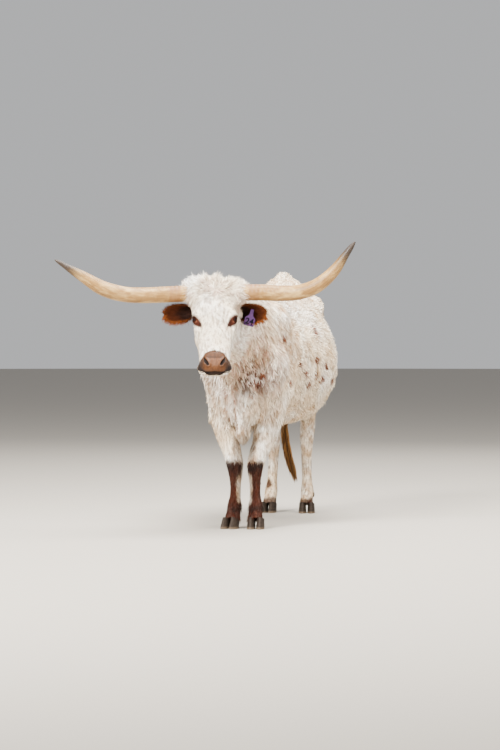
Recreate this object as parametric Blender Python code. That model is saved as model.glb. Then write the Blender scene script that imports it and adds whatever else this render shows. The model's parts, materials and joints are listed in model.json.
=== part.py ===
"""A longhorn cow that stands square and looks to her left front, life size, in metres.

X runs to her left, Y to her tail and Z up. The flesh is lofted from station rows and rounded masses,
remeshed into one body, and parted at the joints by cuts 0.3 mm wide.
"""

import math

import bmesh
import bpy
import numpy as np
from mathutils import Matrix, Vector
from mathutils.bvhtree import BVHTree

# Driving dimensions
GAP = 0.0003  # between touching nodes
BOX_CENTRE = (-0.101, -0.140)  # where the middle of the whole animal's box falls, on the ground
VOXEL = 0.009  # grid of the flesh remesh
FLESH_TRIANGLES = 4480
TRUNK_EASING = 45  # passes that melt the trunk's masses into one another
HEAD_FAVOUR = 0.00010  # how strongly the thinning spares the head and feet
HEAD_YAW = math.radians(11)  # the head turns to her left
HEAD_PITCH = math.radians(32)  # of the face from upright
POLL = Vector((-0.079, -0.930, 1.232))  # the skin between the horns
EYE_RADIUS = 0.021
EYE_SEAT = (0.088, 0.195, -0.029)  # across, along the face, out of it
EYE_LOOK = (0.70, 0.02, 0.71)
EYE_SLIT = (-0.30, 0.95, 0.00)  # the way from its back corner to its front one
EYE_OPENING = (0.022, 0.015, 0.024)  # half its length, half its height and its depth
LID = (0.0055, 0.0050)  # half the roll of the lids, outwards and forwards
EAR_ROOT = (0.106, 0.108, -0.085)
EAR_LENGTH = 0.147
EAR_HEIGHT = 0.087
EAR_THICK = 0.005
TAG_HOLE = (0.42, 0.20)  # along and across the left ear
TAG_AHEAD = 0.034
TAG_THICK = 0.0022
TAG_STUD = 0.0045  # half its side
# down the tag from its hole, and half its width there
TAG_OUTLINE = ((-0.011, 0.0065), (-0.0045, 0.0085), (0.0045, 0.0085), (0.014, 0.0090), (0.024, 0.0130),
               (0.033, 0.0250), (0.037, 0.0260), (0.070, 0.0260), (0.074, 0.0230))
EAR_ROUNDING = 0.60  # share of the ear's length where its tip starts to round off
HOOF_HEIGHT = 0.052
CLAW_GAP = 0.006
CLAW_SIDES = 12
CLAW_HALF = (0.0205, 0.044)  # half across and half fore and aft
# height, spread and lean back of the rings up a claw
CLAW_RINGS = ((0.0, 1.0, -0.012), (0.006, 1.03, -0.011), (0.030, 0.95, 0.000), (0.075, 0.82, 0.018))
DEWCLAW_HEIGHT = 0.098
DEWCLAW_BACK = 0.080  # behind the middle of the hoof
# out, back, up and radius down a dewclaw
DEWCLAW = ((0.010, -0.014, 0.022, 0.010), (0.014, -0.004, 0.010, 0.0125), (0.018, 0.006, -0.006, 0.0100),
           (0.019, 0.010, -0.016, 0.0050))
UDDER = ((0, 0.545, 0.655), (0.062, 0.115, 0.080), -20)
# height of the rings down a teat, how far it splays and its radius
TEAT = ((0.620, 0.030, 0.000, 0.013), (0.575, 0.034, -0.004, 0.010), (0.548, 0.036, -0.006, 0.0075))
TEAT_LINES = (0.500, 0.590)

# y, top, bottom, half width, height of the widest point, upper and lower roundness
TORSO = (
    (-0.700, 0.960, 0.640, 0.070, 0.800, 2.0, 2.0),
    (-0.640, 1.080, 0.560, 0.150, 0.800, 2.0, 2.0),
    (-0.540, 1.185, 0.530, 0.198, 0.820, 1.9, 2.1),
    (-0.420, 1.242, 0.525, 0.218, 0.840, 1.7, 2.2),
    (-0.280, 1.238, 0.530, 0.248, 0.840, 1.7, 2.2),
    (-0.100, 1.220, 0.515, 0.300, 0.830, 1.8, 2.2),
    (0.080, 1.214, 0.498, 0.336, 0.825, 1.9, 2.2),
    (0.240, 1.222, 0.500, 0.346, 0.830, 1.8, 2.2),
    (0.370, 1.248, 0.540, 0.316, 0.850, 1.7, 2.2),
    (0.490, 1.290, 0.630, 0.250, 0.960, 1.6, 2.3),
    (0.620, 1.292, 0.730, 0.190, 1.040, 1.6, 2.3),
    (0.740, 1.264, 0.800, 0.150, 1.060, 1.7, 2.2),
    (0.820, 1.200, 0.880, 0.100, 1.050, 1.9, 2.0),
    (0.858, 1.130, 0.960, 0.050, 1.045, 2.0, 2.0),
)
# y, top, bottom, half width, height of the widest point, upper and lower roundness, across
NECK = (
    (-0.420, 1.220, 0.640, 0.150, 0.920, 1.8, 1.8, 0.000),
    (-0.560, 1.225, 0.640, 0.176, 0.920, 1.8, 1.7, -0.004),
    (-0.680, 1.212, 0.700, 0.150, 0.960, 1.8, 1.7, -0.014),
    (-0.790, 1.208, 0.780, 0.124, 1.010, 1.8, 1.8, -0.032),
    (-0.890, 1.214, 0.860, 0.100, 1.050, 1.9, 1.9, -0.054),
    (-0.960, 1.190, 0.930, 0.082, 1.070, 2.0, 2.0, -0.066),
)
# along the face, top, bottom, half width, level of the widest point, upper and lower roundness
HEAD = (
    (-0.022, -0.040, -0.120, 0.070, -0.080, 2.0, 2.0),
    (0.000, 0.000, -0.150, 0.108, -0.070, 2.4, 2.0),
    (0.050, 0.014, -0.185, 0.118, -0.060, 2.8, 2.0),
    (0.120, 0.018, -0.215, 0.113, -0.060, 2.8, 1.8),
    (0.180, 0.014, -0.235, 0.106, -0.070, 2.5, 1.7),
    (0.240, 0.006, -0.226, 0.100, -0.090, 2.2, 1.9),
    (0.310, -0.002, -0.192, 0.088, -0.086, 2.2, 2.0),
    (0.370, -0.008, -0.152, 0.078, -0.080, 2.3, 2.2),
    (0.415, -0.012, -0.130, 0.077, -0.074, 2.5, 2.4),
    (0.445, -0.018, -0.116, 0.085, -0.070, 2.7, 2.6),
    (0.468, -0.030, -0.100, 0.076, -0.068, 2.6, 2.5),
    (0.482, -0.046, -0.086, 0.048, -0.066, 2.2, 2.2),
)
# out from the middle, y, z, half across, half fore and aft
FORELEG = (
    (0.140, -0.480, 0.740, 0.070, 0.120),
    (0.132, -0.490, 0.640, 0.078, 0.102),
    (0.116, -0.508, 0.550, 0.072, 0.084),
    (0.097, -0.522, 0.460, 0.058, 0.066),
    (0.069, -0.540, 0.375, 0.047, 0.050),
    (0.055, -0.552, 0.320, 0.044, 0.048),
    (0.052, -0.548, 0.268, 0.035, 0.039),
    (0.052, -0.546, 0.210, 0.029, 0.033),
    (0.054, -0.548, 0.158, 0.029, 0.035),
    (0.056, -0.552, 0.115, 0.039, 0.043),
    (0.058, -0.572, 0.076, 0.037, 0.038),
    (0.060, -0.588, 0.040, 0.044, 0.050),
)
HINDLEG = (
    (0.105, 0.640, 1.060, 0.090, 0.170),
    (0.128, 0.625, 0.920, 0.104, 0.196),
    (0.136, 0.605, 0.780, 0.098, 0.190),
    (0.134, 0.610, 0.670, 0.082, 0.168),
    (0.122, 0.662, 0.575, 0.060, 0.124),
    (0.104, 0.718, 0.490, 0.044, 0.076),
    (0.093, 0.742, 0.425, 0.041, 0.056),
    (0.091, 0.742, 0.355, 0.035, 0.043),
    (0.093, 0.732, 0.255, 0.030, 0.035),
    (0.097, 0.722, 0.165, 0.031, 0.037),
    (0.100, 0.714, 0.118, 0.038, 0.043),
    (0.101, 0.690, 0.078, 0.036, 0.038),
    (0.102, 0.672, 0.040, 0.043, 0.050),
)
# centre (out from the middle), half sizes, and the tilt about X in degrees, made on both sides
PAIRED_MASSES = (
    ((0.142, -0.400, 0.950), (0.082, 0.120, 0.210), 20),  # shoulder blade
    ((0.138, -0.550, 0.810), (0.090, 0.125, 0.140), 0),  # point of the shoulder
    ((0.156, -0.430, 0.730), (0.068, 0.120, 0.140), -20),  # triceps
    ((0.140, -0.405, 0.615), (0.034, 0.046, 0.055), 0),  # elbow
    ((0.172, 0.500, 1.112), (0.060, 0.120, 0.070), 12),  # hook bone
    ((0.088, 0.805, 1.095), (0.046, 0.060, 0.060), 0),  # pin bone
    ((0.118, 0.700, 0.960), (0.092, 0.140, 0.160), 0),  # rump muscle
    ((0.150, 0.470, 0.680), (0.056, 0.070, 0.085), 0),  # stifle
    ((0.172, 0.405, 0.655), (0.030, 0.085, 0.110), 30),  # flank fold
    ((0.093, 0.788, 0.478), (0.019, 0.026, 0.046), -12),  # point of the hock
)
MIDDLE_MASSES = (
    ((0.000, -0.600, 0.680), (0.130, 0.130, 0.160), 0),  # breast
    ((0.000, -0.610, 0.540), (0.034, 0.130, 0.112), 0),  # brisket fold
    ((0.000, 0.530, 1.262), (0.036, 0.160, 0.056), 0),  # ridge over the hips
    ((0.000, 0.745, 1.215), (0.044, 0.095, 0.060), -25),  # head of the tail
)
# y, z and half thickness down the front edge of the dewlap, and how far back it reaches
DEWLAP = ((-0.895, 0.915, 0.010), (-0.858, 0.800, 0.014), (-0.805, 0.690, 0.018), (-0.752, 0.580, 0.022),
          (-0.700, 0.500, 0.026), (-0.640, 0.450, 0.026))
DEWLAP_DEPTH = 0.150
# across, above the poll's eye line, forward of it, and radius, root to tip
HORNS = {
    "left": ((0.100, 0.000, 0.000, 0.040), (0.161, 0.002, 0.002, 0.0405), (0.230, 0.002, 0.008, 0.0405),
             (0.331, -0.002, 0.024, 0.0395), (0.409, 0.002, 0.044, 0.0380), (0.486, 0.026, 0.068, 0.0360),
             (0.589, 0.110, 0.098, 0.0285), (0.641, 0.184, 0.112, 0.0190), (0.680, 0.238, 0.118, 0.0090),
             (0.690, 0.251, 0.120, 0.0030)),
    "right": ((-0.100, -0.002, 0.000, 0.041), (-0.153, -0.004, 0.002, 0.0410), (-0.236, -0.008, 0.008, 0.0402),
              (-0.339, -0.012, 0.024, 0.0392), (-0.443, -0.008, 0.048, 0.0385), (-0.546, 0.020, 0.082, 0.0370),
              (-0.649, 0.080, 0.108, 0.0270), (-0.735, 0.132, 0.122, 0.0140), (-0.774, 0.156, 0.126, 0.0070),
              (-0.784, 0.161, 0.127, 0.0030)),
}
# centre and half sizes of the topknot's core in the head's frame, and the swirl that its hair runs out from
TOPKNOT = ((0, 0.004, -0.002), (0.142, 0.058, 0.048))
SWIRL = (0, 0.050, 0.030)
# degrees from the swirl's side of the core, locks round it, their length and how far they rise off it
TOPKNOT_TIERS = ((52, 6, 0.052, 0.10), (82, 8, 0.060, 0.22), (112, 8, 0.064, 0.30), (140, 5, 0.064, 0.16))
TOPKNOT_LOCK = (0.046, 0.015)  # width and thickness
HORN_COLLAR = ((0.108, 0.036, -0.024), (0.052, 0.058, 0.058))
COLLAR_LOCKS = 6
COLLAR_LOCK = (0.050, 0.040, 0.010)
FRINGE_LOCKS = 8
FRINGE_LOCK = (0.032, 0.022, 0.005)  # length, width, thickness
SWITCH_LOCKS = 14
SWITCH_LOCK = (0.160, 0.024, 0.009)
SEED = 7
# across, along the face, out of it, and radius of a nostril's hollow, top to bottom
NOSTRIL = ((0.053, 0.400, -0.027, 0.004), (0.047, 0.412, -0.022, 0.0095), (0.036, 0.431, -0.020, 0.0105),
           (0.026, 0.447, -0.022, 0.006))
MOUTH = (0.395, -0.092)  # middle of the mouth's line, along the face and out of it
MOUTH_RISE = 0.110  # how much higher the line's aim lies in front
MOUTH_GROOVE = 0.0028
HORN_LINE = 1.190  # height of the horns' axis at the head
# across, y, z and radius from the tail's head to the start of the switch
TAIL = ((0.000, 0.770, 1.220, 0.038), (0.000, 0.845, 1.200, 0.034), (-0.004, 0.892, 1.120, 0.027),
        (-0.014, 0.905, 1.000, 0.021), (-0.030, 0.905, 0.850, 0.018), (-0.045, 0.900, 0.700, 0.016),
        (-0.052, 0.891, 0.570, 0.015), (-0.053, 0.889, 0.550, 0.015))
SWITCH_TOP = 0.560  # height where the tail's own flesh ends and the switch starts
SWITCH = ((-0.051, 0.893, 0.580, 0.014), (-0.053, 0.889, 0.550, 0.016), (-0.055, 0.886, 0.500, 0.021),
          (-0.052, 0.880, 0.430, 0.027), (-0.040, 0.876, 0.350, 0.025), (-0.020, 0.874, 0.270, 0.019),
          (-0.004, 0.876, 0.200, 0.009), (0.000, 0.878, 0.180, 0.003))
COLOURS = {
    "coat": ((0.80, 0.74, 0.65), 0.8),
    "ear": ((0.30, 0.09, 0.04), 0.8),
    "horn": ((0.72, 0.58, 0.36), 0.4),
    "eye": ((0.03, 0.015, 0.01), 0.1),
    "hoof": ((0.16, 0.13, 0.11), 0.6),
    "switch": ((0.25, 0.13, 0.05), 0.8),
    "tag": ((0.30, 0.20, 0.48), 0.5),
}


def clear_scene():
    for obj in list(bpy.data.objects):
        bpy.data.objects.remove(obj)


def material(slot):
    """The slot's plain material, made once."""
    if slot in bpy.data.materials:
        return bpy.data.materials[slot]
    made = bpy.data.materials.new(slot)
    made.use_nodes = True
    colour, roughness = COLOURS[slot]
    shader = made.node_tree.nodes["Principled BSDF"]
    shader.inputs["Base Color"].default_value = (*colour, 1)
    shader.inputs["Roughness"].default_value = roughness
    return made


def node(name, mesh, slot):
    """A shown object with this mesh, shaded smooth."""
    mesh.name = name
    mesh.materials.clear()
    mesh.materials.append(material(slot))
    mesh.shade_smooth()
    obj = bpy.data.objects.new(name, mesh)
    bpy.context.scene.collection.objects.link(obj)
    return obj


def helper(mesh):
    """A hidden object that only cuts or is worked on."""
    obj = bpy.data.objects.new("helper", mesh)
    bpy.context.scene.collection.objects.link(obj)
    obj.hide_render = True
    obj.display_type = "WIRE"
    return obj


def smooth_rows(rows, count):
    """Rows of numbers eased by a cubic through each given row, count of them, evenly spread along the line."""
    rows = np.array(rows, float)
    steps = np.maximum(np.linalg.norm(np.diff(rows, axis=0), axis=1), 1e-6)
    at = np.concatenate([[0], np.cumsum(steps)])
    slopes = np.gradient(rows, at, axis=0)
    wanted = np.linspace(0, at[-1], count)
    k = np.clip(np.searchsorted(at, wanted, side="right") - 1, 0, len(rows) - 2)
    h = (at[k + 1] - at[k])[:, None]
    s = ((wanted - at[k])[:, None]) / h
    return (
        rows[k] * (1 + 2 * s) * (1 - s) ** 2
        + slopes[k] * h * s * (1 - s) ** 2
        + rows[k + 1] * s * s * (3 - 2 * s)
        - slopes[k + 1] * h * s * s * (1 - s)
    )


def skin_rings(bm, rings):
    """Closes rings of points into one tube, with a fan on each end."""
    loops = [[bm.verts.new(p) for p in ring] for ring in rings]
    count = len(loops[0])
    for low, high in zip(loops, loops[1:]):
        for i in range(count):
            j = (i + 1) % count
            bm.faces.new((low[i], low[j], high[j], high[i]))
    for loop, turn in ((loops[0], -1), (loops[-1], 1)):
        hub = bm.verts.new(sum((v.co for v in loop), Vector()) / count)
        for i in range(count):
            bm.faces.new((loop[i], loop[(i + 1) % count], hub)[::turn])


def section(half, top, bottom, wide, upper, lower, sides):
    """Points (across, up) round a section that is widest at wide, with its own roundness above and below."""
    points = []
    for k in range(sides):
        angle = 2 * math.pi * k / sides
        c, s = math.cos(angle), math.sin(angle)
        power = 2 / (upper if s >= 0 else lower)
        rise = (top - wide) if s >= 0 else (wide - bottom)
        across = half * math.copysign(abs(c) ** power, c)
        points.append((across, wide + rise * math.copysign(abs(s) ** power, s)))
    return points


def add_loft(bm, rows, count, frame, sides=32):
    """A body of upright sections. frame turns (across, along, up) into a point."""
    rings = []
    for along, top, bottom, half, wide, upper, lower, *across in smooth_rows(rows, count):
        shift = across[0] if across else 0
        points = section(half, top, bottom, wide, upper, lower, sides)
        rings.append([frame(a + shift, along, u) for a, u in points])
    skin_rings(bm, rings)


def add_limb(bm, rows, count, sides=20):
    """A tube through rows of x, y, z, half across and half fore and aft."""
    rows = smooth_rows(rows, count)
    centres = [Vector(r[:3]) for r in rows]
    rings = []
    for i, row in enumerate(rows):
        along = (centres[min(i + 1, count - 1)] - centres[max(i - 1, 0)]).normalized()
        across = (Vector((1, 0, 0)) - along * along.x).normalized()
        fore = along.cross(across)
        turns = [2 * math.pi * k / sides for k in range(sides)]
        rings.append([centres[i] + across * row[3] * math.cos(t) + fore * row[4] * math.sin(t) for t in turns])
    skin_rings(bm, rings)


def add_round_tube(bm, centres, radii, sides):
    """A round tube whose rings turn as little as they can from one to the next."""
    across = Vector((0, 0, 1)) if abs((centres[1] - centres[0]).normalized().z) < 0.8 else Vector((1, 0, 0))
    rings = []
    last = len(centres) - 1
    for i, centre in enumerate(centres):
        along = (centres[min(i + 1, last)] - centres[max(i - 1, 0)]).normalized()
        across = (across - along * across.dot(along)).normalized()
        side = along.cross(across)
        turns = [2 * math.pi * k / sides for k in range(sides)]
        rings.append([centre + (across * math.cos(t) + side * math.sin(t)) * radii[i] for t in turns])
    skin_rings(bm, rings)


def add_mass(bm, centre, halves, tilt=0, frame=None):
    """A rounded mass, tilted about X by tilt degrees."""
    turn = Matrix.Rotation(math.radians(tilt), 4, "X")
    place = Matrix.Translation(centre) @ turn @ Matrix.Diagonal((*halves, 1))
    if frame:
        place = frame @ place
    bmesh.ops.create_icosphere(bm, subdivisions=3, radius=1, matrix=place)


def head_frame():
    """Turns (across, along the face, out of the face) into the animal's own frame."""
    forward = heading()
    side = Vector((math.cos(HEAD_YAW), math.sin(HEAD_YAW), 0))
    up = Vector((0, 0, 1))
    along = forward * math.sin(HEAD_PITCH) - up * math.cos(HEAD_PITCH)
    out = forward * math.cos(HEAD_PITCH) + up * math.sin(HEAD_PITCH)
    turn = Matrix((side, along, out)).transposed().to_4x4()
    return Matrix.Translation(POLL) @ turn


def heading():
    """The level way that the head faces."""
    return Vector((math.sin(HEAD_YAW), -math.cos(HEAD_YAW), 0))


def level_point(across, up, forward):
    """A point beside the head by its heading, from the middle of the horns' line."""
    side = Vector((math.cos(HEAD_YAW), math.sin(HEAD_YAW), 0))
    return Vector((POLL.x, POLL.y, HORN_LINE)) + side * across + heading() * forward + Vector((0, 0, up))


def finished(bm):
    """The bmesh as a new mesh, its faces turned out."""
    bmesh.ops.recalc_face_normals(bm, faces=bm.faces)
    mesh = bpy.data.meshes.new("made")
    bm.to_mesh(mesh)
    bm.free()
    return mesh


def applied(obj):
    """The object's mesh with its modifiers applied. The object is removed."""
    bpy.context.view_layer.update()
    graph = bpy.context.evaluated_depsgraph_get()
    mesh = bpy.data.meshes.new_from_object(obj.evaluated_get(graph))
    bpy.data.objects.remove(obj)
    return mesh


def boolean(mesh, operation, others, solver="EXACT"):
    """The mesh joined with, or cut by, other closed meshes, as its largest closed surface."""
    group = bpy.data.collections.new("operands")
    bpy.context.scene.collection.children.link(group)
    helpers = [helper(other) for other in others]
    for obj in helpers:
        bpy.context.scene.collection.objects.unlink(obj)
        group.objects.link(obj)
    target = helper(mesh)
    modifier = target.modifiers.new("boolean", "BOOLEAN")
    modifier.operation = operation
    modifier.solver = solver
    modifier.operand_type = "COLLECTION"
    modifier.collection = group
    made = applied(target)
    for obj in helpers:
        bpy.data.objects.remove(obj)
    bpy.data.collections.remove(group)
    return made


def islands(mesh):
    """The mesh's closed surfaces, each as a new mesh, largest first."""
    bm = bmesh.new()
    bm.from_mesh(mesh)
    left = set(bm.verts)
    groups = []
    while left:
        edge = [left.pop()]
        found = set(edge)
        while edge:
            for link in edge.pop().link_edges:
                for v in link.verts:
                    if v in left:
                        left.discard(v)
                        found.add(v)
                        edge.append(v)
        groups.append({v.index for v in found})
    bm.free()
    made = []
    for group in sorted(groups, key=len, reverse=True):
        part = bmesh.new()
        part.from_mesh(mesh)
        gone = [v for v in part.verts if v.index not in group]
        bmesh.ops.delete(part, geom=gone, context="VERTS")
        if part.faces:
            bmesh.ops.triangulate(part, faces=part.faces)
            island = bpy.data.meshes.new("island")
            part.to_mesh(island)
            made.append(island)
        part.free()
    return made


def largest(mesh):
    return islands(mesh)[0]


def inflated(mesh, distance=GAP):
    """A copy of the mesh pushed out along its normals."""
    bm = bmesh.new()
    bm.from_mesh(mesh)
    bm.normal_update()
    for v in bm.verts:
        v.co += v.normal * distance
    copy = bpy.data.meshes.new("inflated")
    bm.to_mesh(copy)
    bm.free()
    return copy


def box_mesh(place, size):
    """A box of this size, placed by a matrix."""
    bm = bmesh.new()
    bmesh.ops.create_cube(bm, size=1, matrix=place @ Matrix.Diagonal((*size, 1)))
    return finished(bm)


def slab(centre, normal, width, depth):
    """A cut 0.3 mm wide across normal, width along X and depth the other way."""
    normal = Vector(normal).normalized()
    across = (Vector((1, 0, 0)) - normal * normal.x).normalized()
    turn = Matrix((across, normal.cross(across), normal)).transposed().to_4x4()
    return box_mesh(Matrix.Translation(centre) @ turn, (width, depth, GAP))


def flesh_pieces():
    """Everything soft but the ears and tail, as overlapping closed shapes in one mesh."""
    bm = bmesh.new()
    add_loft(bm, TORSO, 40, lambda a, y, z: Vector((a, y, z)))
    add_loft(bm, NECK, 20, lambda a, y, z: Vector((a, y, z)))
    head = head_frame()
    add_loft(bm, HEAD, 30, lambda a, t, n: head @ Vector((a, t, n)))
    for side in (1, -1):
        for rows in (FORELEG, HINDLEG):
            add_limb(bm, [(side * x, *rest) for x, *rest in rows], 44)
        for (x, y, z), halves, tilt in PAIRED_MASSES:
            add_mass(bm, (side * x, y, z), halves, tilt)
    for centre, halves, tilt in MIDDLE_MASSES:
        add_mass(bm, centre, halves, tilt)
    add_dewlap(bm)
    add_face_masses(bm, head)
    return finished(bm)


def add_dewlap(bm):
    """The fold of skin that hangs from the throat to the brisket."""
    rings = []
    for y, z, half in smooth_rows(DEWLAP, 14):
        lean = Vector((0, DEWLAP_DEPTH, DEWLAP_DEPTH * 0.55))
        x = -0.030 * max(0.0, min(1.0, (-0.62 - y) / 0.30))
        ring = []
        for k in range(12):
            turn = 2 * math.pi * k / 12
            back = (1 - math.cos(turn)) / 2
            ring.append(Vector((x + half * math.sin(turn), y, z)) + lean * back)
        rings.append(ring)
    skin_rings(bm, rings)


def add_face_masses(bm, head):
    """Brow, cheek, muzzle, lip and poll masses, in the head's frame: centre, half sizes, tilt."""
    for side in (1, -1):
        for centre, halves, tilt in (
            ((side * 0.084, 0.174, -0.030), (0.032, 0.046, 0.036), 0),  # brow over the eye
            ((side * 0.080, 0.225, -0.052), (0.026, 0.050, 0.030), 0),  # cheekbone under it
            ((side * 0.064, 0.215, -0.150), (0.038, 0.070, 0.062), 0),  # jaw muscle
            ((side * 0.040, 0.438, -0.040), (0.030, 0.032, 0.030), 0),  # wing of the nostril
            ((side * 0.052, 0.424, -0.076), (0.030, 0.044, 0.024), 0),  # corner of the lip
            ((side * HORN_COLLAR[0][0], *HORN_COLLAR[0][1:]), HORN_COLLAR[1], 0),  # skin round the horn
        ):
            add_mass(bm, centre, halves, tilt, head)
    for centre, halves, tilt in (
        ((0, 0.446, -0.048), (0.056, 0.034, 0.034), 0),  # pad of the nose
        ((0, 0.428, -0.102), (0.048, 0.038, 0.020), 0),  # chin
        (TOPKNOT[0], TOPKNOT[1], 0),  # core of the topknot
    ):
        add_mass(bm, centre, halves, tilt, head)


def flesh_body():
    """The flesh as one smooth closed mesh of few triangles, finest on the head."""
    obj = helper(flesh_pieces())
    remesh = obj.modifiers.new("one skin", "REMESH")
    remesh.mode = "VOXEL"
    remesh.voxel_size = VOXEL
    remesh.adaptivity = 0
    smooth = obj.modifiers.new("soften", "SMOOTH")
    smooth.factor = 0.5
    smooth.iterations = 8
    obj = helper(applied(obj))
    broad = obj.vertex_groups.new(name="broad")
    middle = head_frame() @ Vector((0, 0.20, -0.08))
    for v in obj.data.vertices:
        off_head = (v.co - middle).length - 0.28
        off_leg = v.co.z - 0.50
        broad.add([v.index], max(0.02, min(1.0, off_head * 8, off_leg * 8)), "REPLACE")
    ease = obj.modifiers.new("ease the trunk", "SMOOTH")
    ease.factor = 0.5
    ease.iterations = TRUNK_EASING
    ease.vertex_group = "broad"
    thin = obj.modifiers.new("fewer", "DECIMATE")
    thin.ratio = FLESH_TRIANGLES / (2 * len(obj.data.polygons))
    thin.vertex_group = "broad"
    thin.vertex_group_factor = HEAD_FAVOUR
    return largest(applied(obj))


def body_cuts():
    """The thin slabs that part the flesh into nodes."""
    ahead = heading()
    cuts = [
        slab(POLL - ahead * 0.108 - Vector((0, 0, 0.190)), ahead + Vector((0, 0, 0.14)), 0.50, 0.58),
        slab((0, -0.575, 0.860), (0, -0.96, -0.26), 0.62, 0.86),
        slab((0, 0.640, 0.667), (0, -0.46, 0.89), 0.62, 0.60),
    ]
    for side in (1, -1):
        cuts += [
            slab((side * 0.136, -0.520, 0.478), (0, 0, 1), 0.204, 0.280),
            slab((side * 0.105, -0.550, 0.290), (0, 0, 1), 0.180, 0.160),
            slab((side * 0.110, 0.740, 0.380), (0, 0, 1), 0.180, 0.180),
        ]
    return cuts


# where the middle of each flesh node lies
FLESH_NODES = {
    "head": (-0.01, -1.00, 1.02),
    "neck": (-0.02, -0.76, 0.95),
    "torso": (0.0, 0.05, 0.88),
    "forearm_left": (0.08, -0.53, 0.39),
    "forearm_right": (-0.08, -0.53, 0.39),
    "fore_shank_left": (0.055, -0.55, 0.17),
    "fore_shank_right": (-0.055, -0.55, 0.17),
    "thigh_left": (0.12, 0.62, 0.60),
    "thigh_right": (-0.12, 0.62, 0.60),
    "hind_shank_left": (0.095, 0.72, 0.20),
    "hind_shank_right": (-0.095, 0.72, 0.20),
}


def middle_of(mesh):
    corners = [v.co for v in mesh.vertices]
    low = Vector([min(c[i] for c in corners) for i in range(3)])
    high = Vector([max(c[i] for c in corners) for i in range(3)])
    return (low + high) / 2


def parted(mesh):
    """The flesh cut into its nodes, by name."""
    pieces = islands(boolean(mesh, "DIFFERENCE", body_cuts()))
    found = {}
    for name, place in FLESH_NODES.items():
        pieces.sort(key=lambda piece: (middle_of(piece) - Vector(place)).length)
        found[name] = pieces.pop(0)
    return found


def horn_mesh(side):
    """A round horn through its stations, root to tip."""
    rows = smooth_rows(HORNS[side], 18)
    centres = [level_point(*row[:3]) for row in rows]
    bm = bmesh.new()
    add_round_tube(bm, centres, [row[3] for row in rows], 12)
    return finished(bm)


def eye_centre(side):
    across, along, out = EYE_SEAT
    return head_frame() @ Vector((side * across, along, out))


def eye_mesh(side):
    bm = bmesh.new()
    place = Matrix.Translation(eye_centre(side))
    bmesh.ops.create_icosphere(bm, subdivisions=2, radius=EYE_RADIUS, matrix=place)
    return finished(bm)


def eye_axes(side):
    """The way an eye looks, the way its slit runs, and the way across the slit."""
    turn = head_frame().to_3x3()
    look = (turn @ Vector((side * EYE_LOOK[0], *EYE_LOOK[1:]))).normalized()
    slit = (turn @ Vector((side * EYE_SLIT[0], *EYE_SLIT[1:]))).normalized()
    slit = (slit - look * slit.dot(look)).normalized()
    return look, slit, look.cross(slit)


def socket_mesh(side):
    """The almond opening in front of an eye."""
    look, slit, over = eye_axes(side)
    turn = Matrix((slit, over, look)).transposed().to_4x4()
    place = Matrix.Translation(eye_centre(side) + look * 0.016) @ turn
    bm = bmesh.new()
    bmesh.ops.create_icosphere(bm, subdivisions=2, radius=1, matrix=place @ Matrix.Diagonal((*EYE_OPENING, 1)))
    return finished(bm)


def lid_mesh(side):
    """A rolled rim of both lids round the eye's opening."""
    centre = eye_centre(side)
    look, slit, over = eye_axes(side)
    centres, sides = [], 18
    for k in range(sides):
        turn = 2 * math.pi * k / sides
        spot = slit * EYE_OPENING[0] * math.cos(turn) + over * EYE_OPENING[1] * math.sin(turn)
        centres.append(centre + spot + look * (0.0130 - 0.0050 * math.cos(turn) ** 2))
    bm = bmesh.new()
    rings = []
    for k, spot in enumerate(centres):
        ahead = (centres[(k + 1) % sides] - centres[k - 1]).normalized()
        outward = (spot - centre - look * (spot - centre).dot(look)).normalized()
        third = ahead.cross(outward)
        ring = []
        for j in range(6):
            turn = 2 * math.pi * j / 6
            roll = outward * LID[0] * math.cos(turn) + third * LID[1] * math.sin(turn)
            ring.append(bm.verts.new(spot + roll))
        rings.append(ring)
    for k in range(sides):
        low, high = rings[k], rings[(k + 1) % sides]
        for j in range(6):
            bm.faces.new((low[j], low[(j + 1) % 6], high[(j + 1) % 6], high[j]))
    return finished(bm)


def nostril_mesh(side):
    """The hollow of a nostril: a comma that opens outwards and up."""
    frame = head_frame()
    bm = bmesh.new()
    rows = smooth_rows(NOSTRIL, 8)
    centres = [frame @ Vector((side * r[0], r[1], r[2])) for r in rows]
    add_round_tube(bm, centres, [r[3] for r in rows], 8)
    return finished(bm)


def tree_of(mesh):
    """The mesh's faces, ready for rays."""
    return BVHTree.FromPolygons([v.co for v in mesh.vertices], [tuple(p.vertices) for p in mesh.polygons])


def mouth_mesh(head_mesh):
    """A groove along the line of the mouth, laid on the head's own surface."""
    frame = head_frame()
    tree = tree_of(head_mesh)
    centres = []
    for k in range(25):
        turn = math.radians(-112 + 224 * k / 24)
        ahead = math.cos(turn)
        rise = MOUTH_RISE * max(0.0, ahead) ** 2
        start = frame @ Vector((0.16 * math.sin(turn), MOUTH[0] + 0.20 * ahead, MOUTH[1] + rise))
        aim = frame @ Vector((0, *MOUTH))
        hit = tree.ray_cast(start, (aim - start).normalized())[0]
        if hit:
            centres.append(hit)
    bm = bmesh.new()
    add_round_tube(bm, centres, [MOUTH_GROOVE] * len(centres), 6)
    return finished(bm)


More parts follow.
